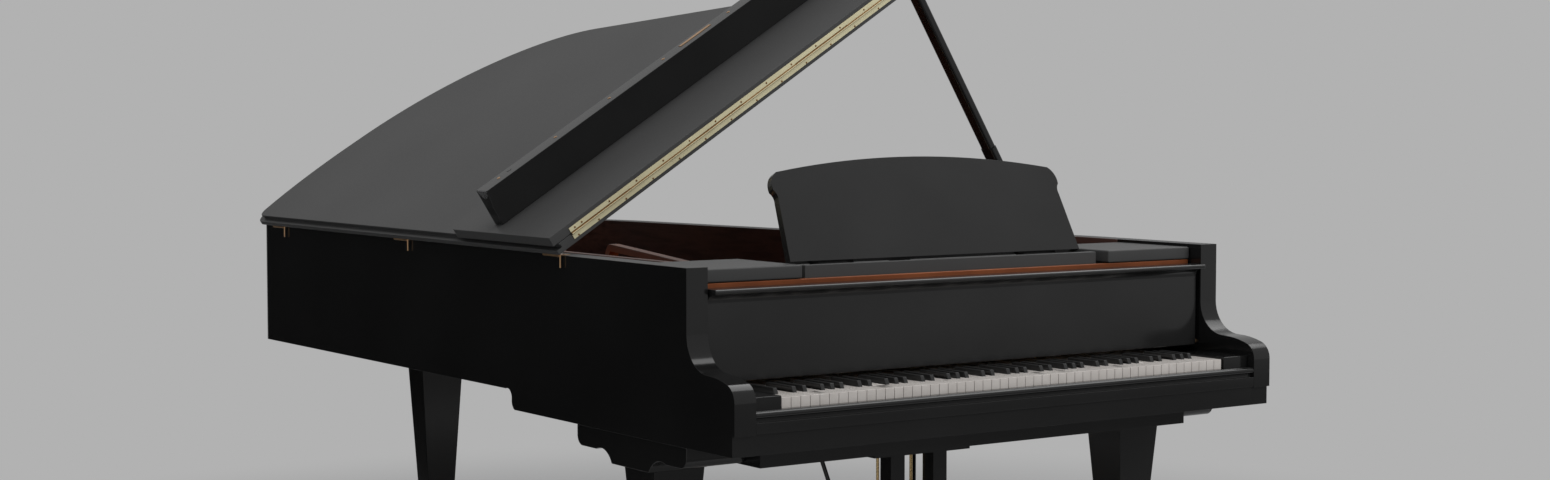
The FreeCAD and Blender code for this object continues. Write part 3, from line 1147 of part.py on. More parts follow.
def build_desk_panel():
    """A panel with small ears under a low arched top, on two knuckles, with a strut behind it."""
    hollow = "desk_ear + ear_hollow"
    bulge = "desk_corner - (corner_up - ear_up) / 2"
    half = [
        ("desk_foot", "desk_low"), ("desk_waist", "waist_up"), ("desk_ear", "ear_up", hollow, 1),
        ("desk_corner", "corner_up", bulge, -1),
    ]
    crown_radius = "(desk_corner * desk_corner + (desk_crown - corner_up) * (desk_crown - corner_up))"
    crown_radius += " / (2 * (desk_crown - corner_up))"
    outline = [("-desk_foot", "desk_low")] + half
    outline += [("-desk_corner", "corner_up", f"desk_crown - {crown_radius}", -1)]
    outline += [("-desk_ear", "ear_up", f"-({bulge})", -1)]
    outline += [("-desk_waist", "waist_up", f"-({hollow})", 1)]
    panel = padded("desk_panel", "XZ_Plane", outline, "desk_thick", both_sides=False)
    doc.recompute()
    board = panel.Shape.copy()
    along = Vector(1, 0, 0)
    ears, knuckle_shapes = [], []
    for sign in (-1, 1):
        inner = get.ear_inner + get.ear_thick + get.runner_clear
        width = get.ear_outer - get.ear_inner - 2 * (get.ear_thick + get.runner_clear)
        start = inner if sign > 0 else -inner - width
        knuckle = Part.makeCylinder(get.desk_knuckle, width, Vector(start, 0, 0), along)
        web = Part.makeBox(width, get.desk_knuckle, get.desk_knuckle + get.desk_low,
                           Vector(start, -get.desk_knuckle, 0))
        bore = Part.makeCylinder(get.desk_pin + get.pin_play, width, Vector(start, 0, 0), along)
        knuckle_shapes.append(knuckle.fuse(web).cut(bore))
        ears.append(desk_ear(sign))
    board = board.fuse(knuckle_shapes)
    for sign in (-1, 1):
        start = get.ear_inner if sign > 0 else -get.ear_outer
        pin_room = Part.makeCylinder(get.desk_pin + get.pin_play, get.ear_outer - get.ear_inner,
                                     Vector(start, 0, 0), along)
        board = board.cut(pin_room)
        for inner in (get.ear_inner, get.ear_outer - get.ear_thick):
            left = (inner if sign > 0 else -inner - get.ear_thick) - get.runner_clear
            notch = Part.makeCylinder(get.desk_knuckle + get.knuckle_gap,
                                      get.ear_thick + 2 * get.runner_clear, Vector(left, 0, 0), along)
            board = board.cut(notch)
    keep("music_desk", feature("music_desk", tilted(board.removeSplitter())))
    keep("desk_hinges", feature("desk_hinges", Part.makeCompound(ears)))
    eye = Vector(0, get.strut_off, get.strut_up)
    lug_inner = get.strut_half + get.runner_clear
    lug_size = Vector(get.lug_thick, get.strut_off + get.strut_eye, 2 * get.strut_eye)
    lugs = [Part.makeBox(lug_size.x, lug_size.y, lug_size.z, Vector(x, 0, get.strut_up - get.strut_eye))
            for x in (lug_inner, -lug_inner - get.lug_thick)]
    pin = Part.makeCylinder(get.strut_pin, 2 * lug_inner, eye - along * lug_inner, along)
    keep("strut_pivot", feature("strut_pivot", tilted(pin.fuse(lugs).removeSplitter())))
    left = Vector(-get.strut_half, 0, 0)
    bar = Part.makeBox(2 * get.strut_half, get.strut_long, get.strut_thick,
                       left - Vector(0, 0, get.strut_thick / 2))
    barrel = Part.makeCylinder(get.strut_eye, 2 * get.strut_half, left, along)
    bore = Part.makeCylinder(get.strut_pin + get.pin_play, 2 * get.strut_half, left, along)
    strut = bar.fuse(barrel).cut(bore).removeSplitter()
    strut.rotate(Vector(), along, -get.strut_angle)
    hinge = Vector(0, get.desk_axis_y, get.desk_axis_z)
    strut.translate(Rotation(along, -get.desk_angle).multVec(eye) + hinge)
    keep("desk_strut", feature("desk_strut", strut))


def desk_ear(sign):
    """Two upright ears on the tray with the hinge pin between them."""
    pieces = []
    for inner in (get.ear_inner, get.ear_outer - get.ear_thick):
        left = inner if sign > 0 else -inner - get.ear_thick
        pieces.append(Part.makeBox(get.ear_thick, 2 * get.desk_knuckle, get.desk_axis_z - get.tray_high,
                                   Vector(left, get.desk_axis_y - get.desk_knuckle, get.tray_high)))
        pieces.append(Part.makeCylinder(get.desk_knuckle, get.ear_thick,
                                        Vector(left, get.desk_axis_y, get.desk_axis_z), Vector(1, 0, 0)))
    start = get.ear_inner if sign > 0 else -get.ear_outer
    pin = Part.makeCylinder(get.desk_pin, get.ear_outer - get.ear_inner,
                            Vector(start, get.desk_axis_y, get.desk_axis_z), Vector(1, 0, 0))
    return pin.fuse(pieces).removeSplitter()


def build_fallboard():
    """The board that shuts over the keys; its lip then hangs in front of the white keys."""
    outline = [
        ("fall_front", "fall_low"), ("fall_back", "fall_low"), ("fall_back", "fall_top"),
        ("lip_front + lip_height / 2", "fall_top"),
        ("lip_front + lip_height / 2", "fall_top - lip_height", "lip_front + lip_height / 2", -1),
        ("fall_front - lip_cove", "fall_top - lip_height"),
        ("fall_front", "fall_top - lip_height - lip_cove", "fall_front - lip_cove", 1),
    ]
    keep("fallboard", padded("fallboard", "YZ_Plane", outline, "2 * fall_half"))
    pins = []
    for name, start in (("bass", f"-({inside_text}) - fall_pin_deep + slip_gap"), ("treble", "fall_half")):
        pins.append(cylinder(f"{name}_fall_pin", (start, "fall_axis_y", "fall_axis_z"), "fall_pin",
                             f"{inside_text} + fall_pin_deep - slip_gap - fall_half", ALONG_X))
    keep("fallboard_pins", group("fallboard_pins", pins))


def tapered_leg(name, x, y, top, deep):
    """A leg that narrows to a square foot, bored for the caster's stem."""
    leg = doc.addObject("Part::Wedge", name)
    for prop, text in (("Xmin", "-leg_foot / 2"), ("Xmax", "leg_foot / 2"), ("Zmin", "-leg_foot / 2"),
                       ("Zmax", "leg_foot / 2"), ("Ymin", "0"), ("Ymax", f"({top}) - leg_low"),
                       ("X2min", "-leg_wide / 2"), ("X2max", "leg_wide / 2"), ("Z2min", f"-{deep} / 2"),
                       ("Z2max", f"{deep} / 2")):
        leg.setExpression(prop, formula(text))
    place(leg, (x, y, "leg_low"), Rotation(Vector(1, 0, 0), 90))
    bore = cylinder(f"{name}_bore", (x, y, "leg_low - cut_past"), "stem_radius + pin_play",
                    "stem_long + 2 * cut_past")
    return cut(f"{name}_bored", leg, [bore])


LEGS = {"bass": ("-leg_x", "leg_y"), "treble": ("leg_x", "leg_y"), "tail": ("rear_leg_x", "rear_leg_y")}


def build_legs():
    legs = []
    for name, (x, y) in LEGS.items():
        top, deep = ("rim_low - rear_block", "rear_leg_deep") if name == "tail" else ("leg_top", "leg_deep")
        legs.append(tapered_leg(f"{name}_leg", x, y, top, deep))
    keep("legs", group("legs", legs))
    half = [
        ("leg_y + bracket_half", "apron_low - bracket_edge"),
        ("leg_y + bracket_half - bracket_round", "apron_low - bracket_edge - bracket_round",
         "leg_y + bracket_half - bracket_round", 1),
        ("leg_y + bracket_neck", "apron_low - bracket_edge - bracket_round"),
        ("leg_y + bracket_toe", "leg_top", "leg_top - bracket_round", -1),
    ]
    outline = [("leg_y - bracket_half", "apron_low"), ("leg_y + bracket_half", "apron_low")] + half
    outline += [("leg_y - bracket_toe", "leg_top"),
                ("leg_y - bracket_neck", "apron_low - bracket_edge - bracket_round",
                 "leg_top - bracket_round", -1),
                ("leg_y - bracket_half + bracket_round", "apron_low - bracket_edge - bracket_round"),
                ("leg_y - bracket_half", "apron_low - bracket_edge",
                 "leg_y - bracket_half + bracket_round", 1)]
    bracket = padded("leg_bracket_profile", "YZ_Plane", outline,
                     "half_width - bracket_inset - bracket_inner", both_sides=False)
    bracket.setExpression(".Placement.Base.x", formula("bracket_inner"))
    bass_bracket = mirrored("bass_bracket", bracket)
    rear = box("tail_leg_block", ("rear_leg_x - rear_block_half", "rear_leg_y - rear_block_deep / 2",
                                  "rim_low - rear_block"),
               ("rear_leg_x + rear_block_half", "rear_leg_y + rear_block_deep / 2", "rim_low"))
    keep("leg_brackets", group("leg_brackets", [bracket, bass_bracket, rear]))


def build_casters():
    crown_high = "leg_low - fork_clear"
    crown_low = f"{crown_high} - crown_tall"
    half = "(crown_wide / 2)"
    inner = "wheel_wide / 2 + wheel_play"
    cheek_low = "wheel_radius - cheek_wide / 2"
    for name, (x, y) in LEGS.items():
        stem = cylinder(f"{name}_stem", (x, y, crown_high), "stem_radius", "stem_long")
        crown = box(f"{name}_crown", (f"({x}) - {half}", f"({y}) - {half}", crown_low),
                    (f"({x}) + {half}", f"({y}) + trail + cheek_wide / 2", crown_high))
        behind = f"({y}) + trail"
        cheeks = []
        for tag, sign in (("left", -1), ("right", 1)):
            near = f"({x}) + {sign} * ({inner})"
            far = f"({x}) + {sign} * ({inner} + cheek_thick)"
            a, b = (far, near) if sign < 0 else (near, far)
            cheeks.append(box(f"{name}_{tag}_cheek", (a, f"{behind} - cheek_wide / 2", cheek_low),
                              (b, f"{behind} + cheek_wide / 2", crown_high)))
        axle = cylinder(f"{name}_axle", (f"({x}) - ({inner} + cheek_thick)", behind, "wheel_radius"),
                        "axle_radius", f"2 * ({inner} + cheek_thick)", ALONG_X)
        keep(f"{name}_caster_fork", fuse(f"{name}_caster_fork", [stem, crown, axle] + cheeks))
        tread = cylinder(f"{name}_tread", (f"({x}) - wheel_wide / 2", behind, "wheel_radius"),
                         "wheel_radius", "wheel_wide", ALONG_X)
        bore = cylinder(f"{name}_wheel_bore", (f"({x}) - wheel_wide", behind, "wheel_radius"),
                        "axle_radius + pin_play", "2 * wheel_wide", ALONG_X)
        keep(f"{name}_caster_wheel", cut(f"{name}_caster_wheel", tread, [bore]))


def build_lyre():
    block = cut("lyre_block", box("lyre_block_blank", ("-lyre_half", "lyre_front", "lyre_low"),
                                  ("lyre_half", "lyre_back", "cross_low")),
                rod_holes("lyre_block", "lyre_low", "cross_low"))
    posts = []
    for name, sign in (("bass", -1), ("treble", 1)):
        posts.append(sided_box(f"{name}_post", sign, "post_outer - post_wide", "post_outer", "post_front",
                               "post_front + post_wide", "box_top", "lyre_low"))
    blank = box("pedal_box_blank", ("-box_half", "box_front", "box_low"),
                ("box_half", "box_back", "box_top"))
    tools = rod_holes("pedal_box", "box_top - box_board", "box_top")
    channel_top = "box_top - box_board - box_wall"
    for i in (-1, 0, 1):
        middle = f"{i} * pedal_pitch"
        tools.append(box(f"pedal_channel_{i + 1}",
                         (f"{middle} - channel_wide / 2", "box_front - cut_past", "box_low + box_board"),
                         (f"{middle} + channel_wide / 2", "box_back + cut_past", channel_top)))
        tools.append(box(f"pedal_head_room_{i + 1}",
                         (f"{middle} - rod_hole", "rod_y - rod_hole", f"{channel_top} - cut_past"),
                         (f"{middle} + rod_hole", "rod_y + rod_hole", "box_top - box_board + cut_past")))
    pin_bore = cylinder("pedal_pin_bore", ("-box_half - cut_past", "pedal_axis_y", "pedal_z"), "pedal_pin",
                        "2 * (box_half + cut_past)", ALONG_X)
    pedal_box = cut("pedal_box", blank, tools + [pin_bore])
    keep("lyre", group("lyre", [block, pedal_box] + posts))
    keep("pedal_pin", cylinder("pedal_pin_rod", ("-box_half", "pedal_axis_y", "pedal_z"), "pedal_pin",
                               "2 * box_half", ALONG_X))
    tops = {"left": "shift_rod_top", "middle": "sostenuto_rod_top", "right": "lift_bar_z - rod_gap"}
    for i, (name, top) in zip((-1, 0, 1), tops.items()):
        middle = f"{i} * pedal_pitch"
        keep(f"{name}_pedal", build_pedal(name, middle))
        low = "pedal_z + pedal_thick / 2 + rod_gap + rod_radius"
        rod = cylinder(f"{name}_rod", (middle, "rod_y", low), "rod_radius", f"{top} - ({low})")
        tip_z = get.pedal_z + get.pedal_thick / 2 + get.rod_gap + get.rod_radius
        tip = Part.makeSphere(get.rod_radius, Vector(i * get.pedal_pitch, get.rod_y, tip_z))
        keep(f"{name}_pedal_rod", fuse(f"{name}_pedal_rod", [rod, feature(f"{name}_rod_tip", tip)]))
    room = box("brace_room", ("-half_width", "0", "box_top"), ("half_width", "tail_y", "cross_low"))
    braces = []
    for name, sign in (("bass", -1), ("treble", 1)):
        foot = Vector(sign * get.brace_foot_x, get.brace_foot_y, get.box_top)
        head = Vector(sign * get.brace_top_x, get.brace_top_y, get.cross_low)
        way = head - foot
        spare = way * (4 * get.brace_radius / way.Length)
        rod = Part.makeCylinder(get.brace_radius, way.Length + 2 * spare.Length, foot - spare, way)
        braces.append(common(f"{name}_brace", feature(f"{name}_brace_rod", rod), room))
    keep("lyre_braces", group("lyre_braces", braces))


def build_pedal(name, middle):
    """A lever with a round toe, bored for the pin it rocks on."""
    toe_y = "pedal_front + pedal_wide / 2"
    low = "pedal_z - pedal_thick / 2"
    lever = box(f"{name}_lever", (f"{middle} - pedal_wide / 2", toe_y, low),
                (f"{middle} + pedal_wide / 2", "pedal_back", "pedal_z + pedal_thick / 2"))
    toe = cylinder(f"{name}_toe", (middle, toe_y, low), "pedal_wide / 2", "pedal_thick")
    bore = cylinder(f"{name}_pedal_bore", (f"{middle} - pedal_wide", "pedal_axis_y", "pedal_z"),
                    "pedal_pin + pin_play", "2 * pedal_wide", ALONG_X)
    return cut(f"{name}_pedal", fuse(f"{name}_pedal_blank", [lever, toe]), [bore])


build_case()
build_keybed()
build_keys()
build_key_frame()
build_hammers()
build_strings()
build_lid()
build_prop()
build_music_desk()
build_fallboard()
build_legs()
build_casters()
build_lyre()
doc.recompute()

for obj in doc.Objects:
    if "Invalid" in obj.State or "Error" in obj.State:
        raise RuntimeError(f"{obj.Label} failed: {obj.State}")
for label, obj in PARTS.items():
    if obj.Shape.isNull() or not obj.Shape.isValid() or not obj.Shape.Solids:
        raise RuntimeError(f"{label} has no valid solid")
os.makedirs("parts", exist_ok=True)
for label, obj in PARTS.items():
    obj.Shape.exportStep(f"parts/{label}.step")
    print(label, len(obj.Shape.Solids), round(obj.Shape.Volume / 1000), "cm3")
print(len(PARTS), "parts,", sum(len(o.Shape.Solids) for o in PARTS.values()), "solids")
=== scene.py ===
# %% [markdown]
# # A grand piano in black lacquer
# The solids of this piano were drawn in CAD, and this lesson dresses them for a picture. Each
# step takes one kind of piece, such as the lacquered case or the brass hinges, and finishes it
# the way its maker would: edges are eased, screws go in, and every surface gets a finish that
# is worked out by nodes. The first cell loads the solids and keeps their outer box.

# %% Load the solids
import json
import math
import bpy
from mathutils import Euler, Matrix, Vector

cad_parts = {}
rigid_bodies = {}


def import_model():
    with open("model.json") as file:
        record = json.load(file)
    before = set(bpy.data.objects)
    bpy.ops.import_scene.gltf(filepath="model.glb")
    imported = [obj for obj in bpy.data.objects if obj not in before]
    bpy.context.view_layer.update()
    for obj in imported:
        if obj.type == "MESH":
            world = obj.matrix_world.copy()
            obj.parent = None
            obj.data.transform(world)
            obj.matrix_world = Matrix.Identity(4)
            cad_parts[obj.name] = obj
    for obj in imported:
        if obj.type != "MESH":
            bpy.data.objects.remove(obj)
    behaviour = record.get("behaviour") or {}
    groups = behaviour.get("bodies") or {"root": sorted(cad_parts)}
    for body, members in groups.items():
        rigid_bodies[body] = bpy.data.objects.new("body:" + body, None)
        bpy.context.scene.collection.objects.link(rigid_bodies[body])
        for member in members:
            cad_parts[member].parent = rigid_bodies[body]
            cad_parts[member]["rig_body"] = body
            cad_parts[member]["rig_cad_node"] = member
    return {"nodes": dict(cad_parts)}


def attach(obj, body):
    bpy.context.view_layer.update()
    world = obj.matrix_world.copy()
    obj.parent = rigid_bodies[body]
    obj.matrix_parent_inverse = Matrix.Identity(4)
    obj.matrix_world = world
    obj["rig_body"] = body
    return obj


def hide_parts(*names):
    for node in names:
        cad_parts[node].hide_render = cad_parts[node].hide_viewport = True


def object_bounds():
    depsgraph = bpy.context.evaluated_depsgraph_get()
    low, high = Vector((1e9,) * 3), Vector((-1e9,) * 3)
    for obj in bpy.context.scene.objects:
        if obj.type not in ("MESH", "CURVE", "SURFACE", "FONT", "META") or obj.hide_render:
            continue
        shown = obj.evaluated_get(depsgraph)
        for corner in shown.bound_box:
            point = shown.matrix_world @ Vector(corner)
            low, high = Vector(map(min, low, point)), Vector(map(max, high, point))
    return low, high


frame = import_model()
cad_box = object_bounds()
solids = frame["nodes"]
bpy.ops.object.select_all(action="DESELECT")
bpy.context.scene.view_settings.view_transform = "Standard"
print("solids:", len(solids), "height:", round(cad_box[1].z, 3))

# %% [markdown]
# ## Where the viewer stands
# The piano is seen from its left, from a little above the keys, with a longish lens, so that
# the long straight side runs away to the left. A camera can be aimed with a constraint, but
# here its place and turn are given, because they were worked out from the corners of the case.

# %% Set up the camera
LOOK_DOWN = math.radians(3.1765)
LOOK_RIGHT = math.radians(34.8213)
VIEWER_PLACE = (-3.1888, -3.6816, 1.2860)
SENSOR_WIDE, LENS = 36, 53.095
bpy.ops.object.camera_add(location=VIEWER_PLACE,
                          rotation=(math.pi / 2 - LOOK_DOWN, 0, -LOOK_RIGHT))
viewer = bpy.context.object
viewer.name = "viewer"
viewer.data.sensor_fit = "HORIZONTAL"
viewer.data.sensor_width = SENSOR_WIDE
viewer.data.lens = LENS
bpy.context.scene.camera = viewer
print("lens in mm:", round(viewer.data.lens, 1))

# %% [markdown]
# ## The floor and the room
# The piano stands on plain grey paper that has no visible end. A real studio hangs one long
# roll from the wall. Here a round floor keeps the soft shadow near the legs, and further out it
# turns into the plain grey of the room, which is all that the camera and the shine can see.

# %% Lay the paper floor
ROOM_GREY = (0.445, 0.445, 0.445, 1)
FLOOR_RADIUS, FLOOR_BORDER = 4.5, 1.5
FLOOR_Y, FLOOR_GAP = 1.1, 0.0005
bpy.ops.mesh.primitive_circle_add(vertices=96, radius=FLOOR_RADIUS, fill_type="NGON",
                                  location=(0, FLOOR_Y, cad_box[0].z - FLOOR_GAP))
paper_floor = bpy.context.object
paper_floor.name = "paper_floor"
bpy.ops.object.mode_set(mode="EDIT")
bpy.ops.mesh.inset(thickness=FLOOR_BORDER)
bpy.ops.object.mode_set(mode="OBJECT")
print("floor radius in m:", FLOOR_RADIUS)


# %% Colour the paper floor
def add_node(tree, kind, **values):
    node = tree.nodes.new(kind)
    for socket, value in values.items():
        node.inputs[socket].default_value = value
    return node


def seen_directly(tree):
    """1 for what the camera, the shine and glass look at, and 0 for soft light."""
    path = add_node(tree, "ShaderNodeLightPath")
    either = add_node(tree, "ShaderNodeMath")
    either.operation = "MAXIMUM"
    tree.links.new(path.outputs["Is Camera Ray"], either.inputs[0])
    tree.links.new(path.outputs["Is Glossy Ray"], either.inputs[1])
    any_of = add_node(tree, "ShaderNodeMath")
    any_of.operation = "MAXIMUM"
    tree.links.new(either.outputs[0], any_of.inputs[0])
    tree.links.new(path.outputs["Is Transmission Ray"], any_of.inputs[1])
    return any_of.outputs[0]


FADE_FROM, FADE_TO = 1.7, 3.2
paper = bpy.data.materials.new("grey_paper")
paper.use_nodes = True
tree = paper.node_tree
tree.nodes.clear()
place = add_node(tree, "ShaderNodeTexCoord")
fibre = add_node(tree, "ShaderNodeTexNoise", Scale=90, Detail=3)
tone = add_node(tree, "ShaderNodeValToRGB")
tone.color_ramp.elements[0].color = (0.42, 0.42, 0.42, 1)
tone.color_ramp.elements[1].color = (0.47, 0.47, 0.47, 1)
soft = add_node(tree, "ShaderNodeBsdfDiffuse")
room = add_node(tree, "ShaderNodeEmission", Color=ROOM_GREY)
reach = add_node(tree, "ShaderNodeVectorMath")
reach.operation = "LENGTH"
fade = add_node(tree, "ShaderNodeMapRange")
fade.interpolation_type = "SMOOTHSTEP"
fade.inputs["From Min"].default_value = FADE_FROM
fade.inputs["From Max"].default_value = FADE_TO
far = add_node(tree, "ShaderNodeMath")
far.operation = "MULTIPLY"
blend = add_node(tree, "ShaderNodeMixShader")
out = add_node(tree, "ShaderNodeOutputMaterial")
tree.links.new(place.outputs["Object"], fibre.inputs["Vector"])
tree.links.new(fibre.outputs["Fac"], tone.inputs["Fac"])
tree.links.new(tone.outputs["Color"], soft.inputs["Color"])
tree.links.new(place.outputs["Object"], reach.inputs[0])
tree.links.new(reach.outputs["Value"], fade.inputs["Value"])
tree.links.new(fade.outputs["Result"], far.inputs[0])
tree.links.new(seen_directly(tree), far.inputs[1])
tree.links.new(far.outputs[0], blend.inputs["Fac"])
tree.links.new(soft.outputs[0], blend.inputs[1])
tree.links.new(room.outputs[0], blend.inputs[2])
tree.links.new(blend.outputs[0], out.inputs["Surface"])
paper_floor.data.materials.append(paper)
print("paper:", paper.name)

# %% Fill the room with even light
sky = bpy.data.worlds.new("studio")
bpy.context.scene.world = sky
sky.use_nodes = True
tree = sky.node_tree
tree.nodes.clear()
fill = add_node(tree, "ShaderNodeBackground", Color=(0.98, 0.99, 1, 1), Strength=0.42)
backdrop = add_node(tree, "ShaderNodeBackground", Color=ROOM_GREY)
choose = add_node(tree, "ShaderNodeMixShader")
out = add_node(tree, "ShaderNodeOutputWorld")
tree.links.new(seen_directly(tree), choose.inputs["Fac"])
tree.links.new(fill.outputs[0], choose.inputs[1])
tree.links.new(backdrop.outputs[0], choose.inputs[2])
tree.links.new(choose.outputs[0], out.inputs["Surface"])
print("fill strength:", fill.inputs["Strength"].default_value)

# %% [markdown]
# ## Lamps and flags
# Black lacquer is lit by what it mirrors. A wide soft lamp hangs over the piano, a second one
# stands at the right, and a third hangs where every rounded front edge mirrors it, so that it
# draws a light band there. Dark cloths, which photographers call flags, stand or lie where the
# long side and the legs would otherwise mirror the pale room. The third lamp and the flags show
# in the shine only.

# %% Hang the lamps
AIM = Vector((0, 0.9, 0.9))


def soft_lamp(name, place, size, power, in_shine=False):
    bpy.ops.object.light_add(type="AREA", location=place)
    lamp = bpy.context.object
    lamp.name = name
    lamp.data.shape = "RECTANGLE"
    lamp.data.size, lamp.data.size_y = size
    lamp.data.energy = power
    lamp.rotation_euler = (AIM - lamp.location).to_track_quat("-Z", "Y").to_euler()
    lamp.visible_glossy = in_shine
    lamp.visible_diffuse = not in_shine


soft_lamp("top_lamp", (-0.6, 0.4, 4.2), (3.4, 3.4), 95)
soft_lamp("front_lamp", (1.6, -3.6, 2.6), (2.2, 1.6), 105)
soft_lamp("edge_lamp", (2.8, 0.9, 5.0), (4.4, 3.6), 105, in_shine=True)


# %% Stand the flags
def flag(name, low, high):
    """A cloth between two corners: upright when they share y, and lying down when they share z."""
    bpy.ops.mesh.primitive_plane_add(size=1)
    cloth = bpy.context.object
    cloth.name = name
    middle = (Vector(low) + Vector(high)) / 2
    span = Vector(high) - Vector(low)
    bpy.ops.object.mode_set(mode="EDIT")
    if span.y == 0:
        bpy.ops.transform.rotate(value=math.pi / 2, orient_axis="X", center_override=(0, 0, 0))
    bpy.ops.transform.resize(value=(span.x or 1, span.y or 1, span.z or 1))
    bpy.ops.transform.translate(value=middle)
    bpy.ops.object.mode_set(mode="OBJECT")
    cloth.visible_camera = False
    cloth.visible_diffuse = False
    cloth.visible_shadow = False
    return cloth


def cloth_finish(name, dark, light):
    """A woven cloth between two greys."""
    finish = bpy.data.materials.new(name)
    finish.use_nodes = True
    tree = finish.node_tree
    weave = add_node(tree, "ShaderNodeTexNoise", Scale=300)
    nap = add_node(tree, "ShaderNodeValToRGB")
    nap.color_ramp.elements[0].color = (dark, dark, dark, 1)
    nap.color_ramp.elements[1].color = (light, light, light, 1)
    tree.links.new(weave.outputs["Fac"], nap.inputs["Fac"])
    tree.links.new(nap.outputs["Color"], tree.nodes["Principled BSDF"].inputs["Base Color"])
    return finish


black_cloth = cloth_finish("black_cloth", 0.004, 0.008)
grey_cloth = cloth_finish("grey_cloth", 0.13, 0.17)
FLAGS = (
    ("side_flag", (-9, 5.5, 0), (-1.1, 5.5, 1.6), black_cloth),
    ("floor_flag", (-6, 1.2, 0.001), (-0.9, 5.5, 0.001), black_cloth),
    ("front_flag", (-1.5, -6.0, 0.001), (6, -0.5, 0.001), grey_cloth),
)
for name, low, high, finish in FLAGS:
    cloth = flag(name, low, high)
    cloth.data.materials.append(finish)
    print(cloth.name, "width in m:", round(cloth.dimensions.x, 2))

# %% [markdown]
# ## Finishes
# A piano has about a dozen finishes: black lacquer, dark veneer inside the rim, pale maple,
# spruce, bronze paint on the iron, brass, steel, copper, key tops and felt. Each could be one
# flat colour, but real ones vary a little all over. So each gets a noise, stretched along the
# grain where there is a grain, that shades its colour, its shine and its relief.


# %% Tools for mixing a finish
def new_finish(name, metal=0.0, shine=0.5):
    finish = bpy.data.materials.new(name)
    finish.use_nodes = True
    shader = finish.node_tree.nodes["Principled BSDF"]
    shader.inputs["Metallic"].default_value = metal
    shader.inputs["Specular IOR Level"].default_value = shine
    return finish


def mottle(finish, scale, stretch=(1, 1, 1), detail=4.0, twist=0.0):
    """A noise on the piece's own place, stretched along its grain."""
    tree = finish.node_tree
    place = add_node(tree, "ShaderNodeTexCoord")
    turn = add_node(tree, "ShaderNodeMapping")
    turn.inputs["Scale"].default_value = stretch
    noise = add_node(tree, "ShaderNodeTexNoise", Scale=scale, Detail=detail, Distortion=twist)
    tree.links.new(place.outputs["Object"], turn.inputs["Vector"])
    tree.links.new(turn.outputs["Vector"], noise.inputs["Vector"])
    return noise.outputs["Fac"]


def shades(finish, pattern, socket, *stops):
    """Colours or greys along a pattern, sent to a socket of the finish."""
    tree = finish.node_tree
    ramp = add_node(tree, "ShaderNodeValToRGB")
    marks = ramp.color_ramp.elements
    while len(marks) < len(stops):
        marks.new(0.5)
    for mark, (at, value) in zip(marks, stops):
        mark.position = at
        mark.color = (*value, 1) if isinstance(value, tuple) else (value, value, value, 1)
    tree.links.new(pattern, ramp.inputs["Fac"])
    tree.links.new(ramp.outputs["Color"], tree.nodes["Principled BSDF"].inputs[socket])


def relief(finish, pattern, depth, strength=0.5):
    tree = finish.node_tree
    bump = add_node(tree, "ShaderNodeBump", Distance=depth, Strength=strength)
    tree.links.new(pattern, bump.inputs["Height"])
    tree.links.new(bump.outputs["Normal"], tree.nodes["Principled BSDF"].inputs["Normal"])


print("finish tools are ready")

# %% Mix the black finishes
black_lacquer = new_finish("black_lacquer", shine=0.45)
rubbed = mottle(black_lacquer, 260, detail=6)
shades(black_lacquer, mottle(black_lacquer, 3), "Base Color", (0.3, 0.0055), (0.7, 0.0075))
shades(black_lacquer, rubbed, "Roughness", (0.3, 0.12), (0.7, 0.17))
relief(black_lacquer, rubbed, 0.00002, 0.12)

# Satin black for the lid, the flap, the shelf and the desk tray. Its roughness is the satin
# finish, and its grey base colour, far lighter than the black lacquer's, is a painted sheen.
satin_lacquer_painted_sheen = new_finish("satin_lacquer_painted_sheen", shine=0.14)
haze = mottle(satin_lacquer_painted_sheen, 320, detail=6)
shades(satin_lacquer_painted_sheen, mottle(satin_lacquer_painted_sheen, 2.5), "Base Color", (0.3, 0.045), (0.7, 0.052))
shades(satin_lacquer_painted_sheen, haze, "Roughness", (0.3, 0.4), (0.7, 0.47))
relief(satin_lacquer_painted_sheen, haze, 0.00003, 0.15)

# Rubbed black for the desk, the fallboard and the batten. Its roughness is the rubbed finish, and
# its base colour, a little greyer than the black lacquer's, is a painted sheen.
rubbed_lacquer_painted_sheen = new_finish("rubbed_lacquer_painted_sheen", shine=0.45)
scuffs = mottle(rubbed_lacquer_painted_sheen, 300, detail=6)
shades(rubbed_lacquer_painted_sheen, mottle(rubbed_lacquer_painted_sheen, 4), "Base Color", (0.3, 0.01), (0.7, 0.014))
shades(rubbed_lacquer_painted_sheen, scuffs, "Roughness", (0.3, 0.17), (0.7, 0.24))
relief(rubbed_lacquer_painted_sheen, scuffs, 0.00003, 0.15)

key_black = new_finish("key_black", shine=0.4)
pores = mottle(key_black, 900, (1, 0.08, 1))
shades(key_black, pores, "Base Color", (0.35, 0.014), (0.7, 0.022))
shades(key_black, pores, "Roughness", (0.3, 0.36), (0.7, 0.5))
relief(key_black, pores, 0.0001, 0.3)
print("black finishes:", black_lacquer.name, satin_lacquer_painted_sheen.name, rubbed_lacquer_painted_sheen.name,
      key_black.name)


# %% Mix the woods
def wood(name, light, dark, along, rough=0.45, shine=0.4):
    finish = new_finish(name, shine=shine)
    stretch = [1.0, 1.0, 1.0]
    stretch["xyz".index(along)] = 0.035
    rings = mottle(finish, 55, stretch, detail=5, twist=0.35)
    flecks = mottle(finish, 420, stretch, detail=2)
    shades(finish, rings, "Base Color", (0.32, dark), (0.52, light), (0.7, dark))
    shades(finish, flecks, "Roughness", (0.3, rough - 0.06), (0.7, rough + 0.08))
    relief(finish, flecks, 0.00012, 0.35)
    return finish


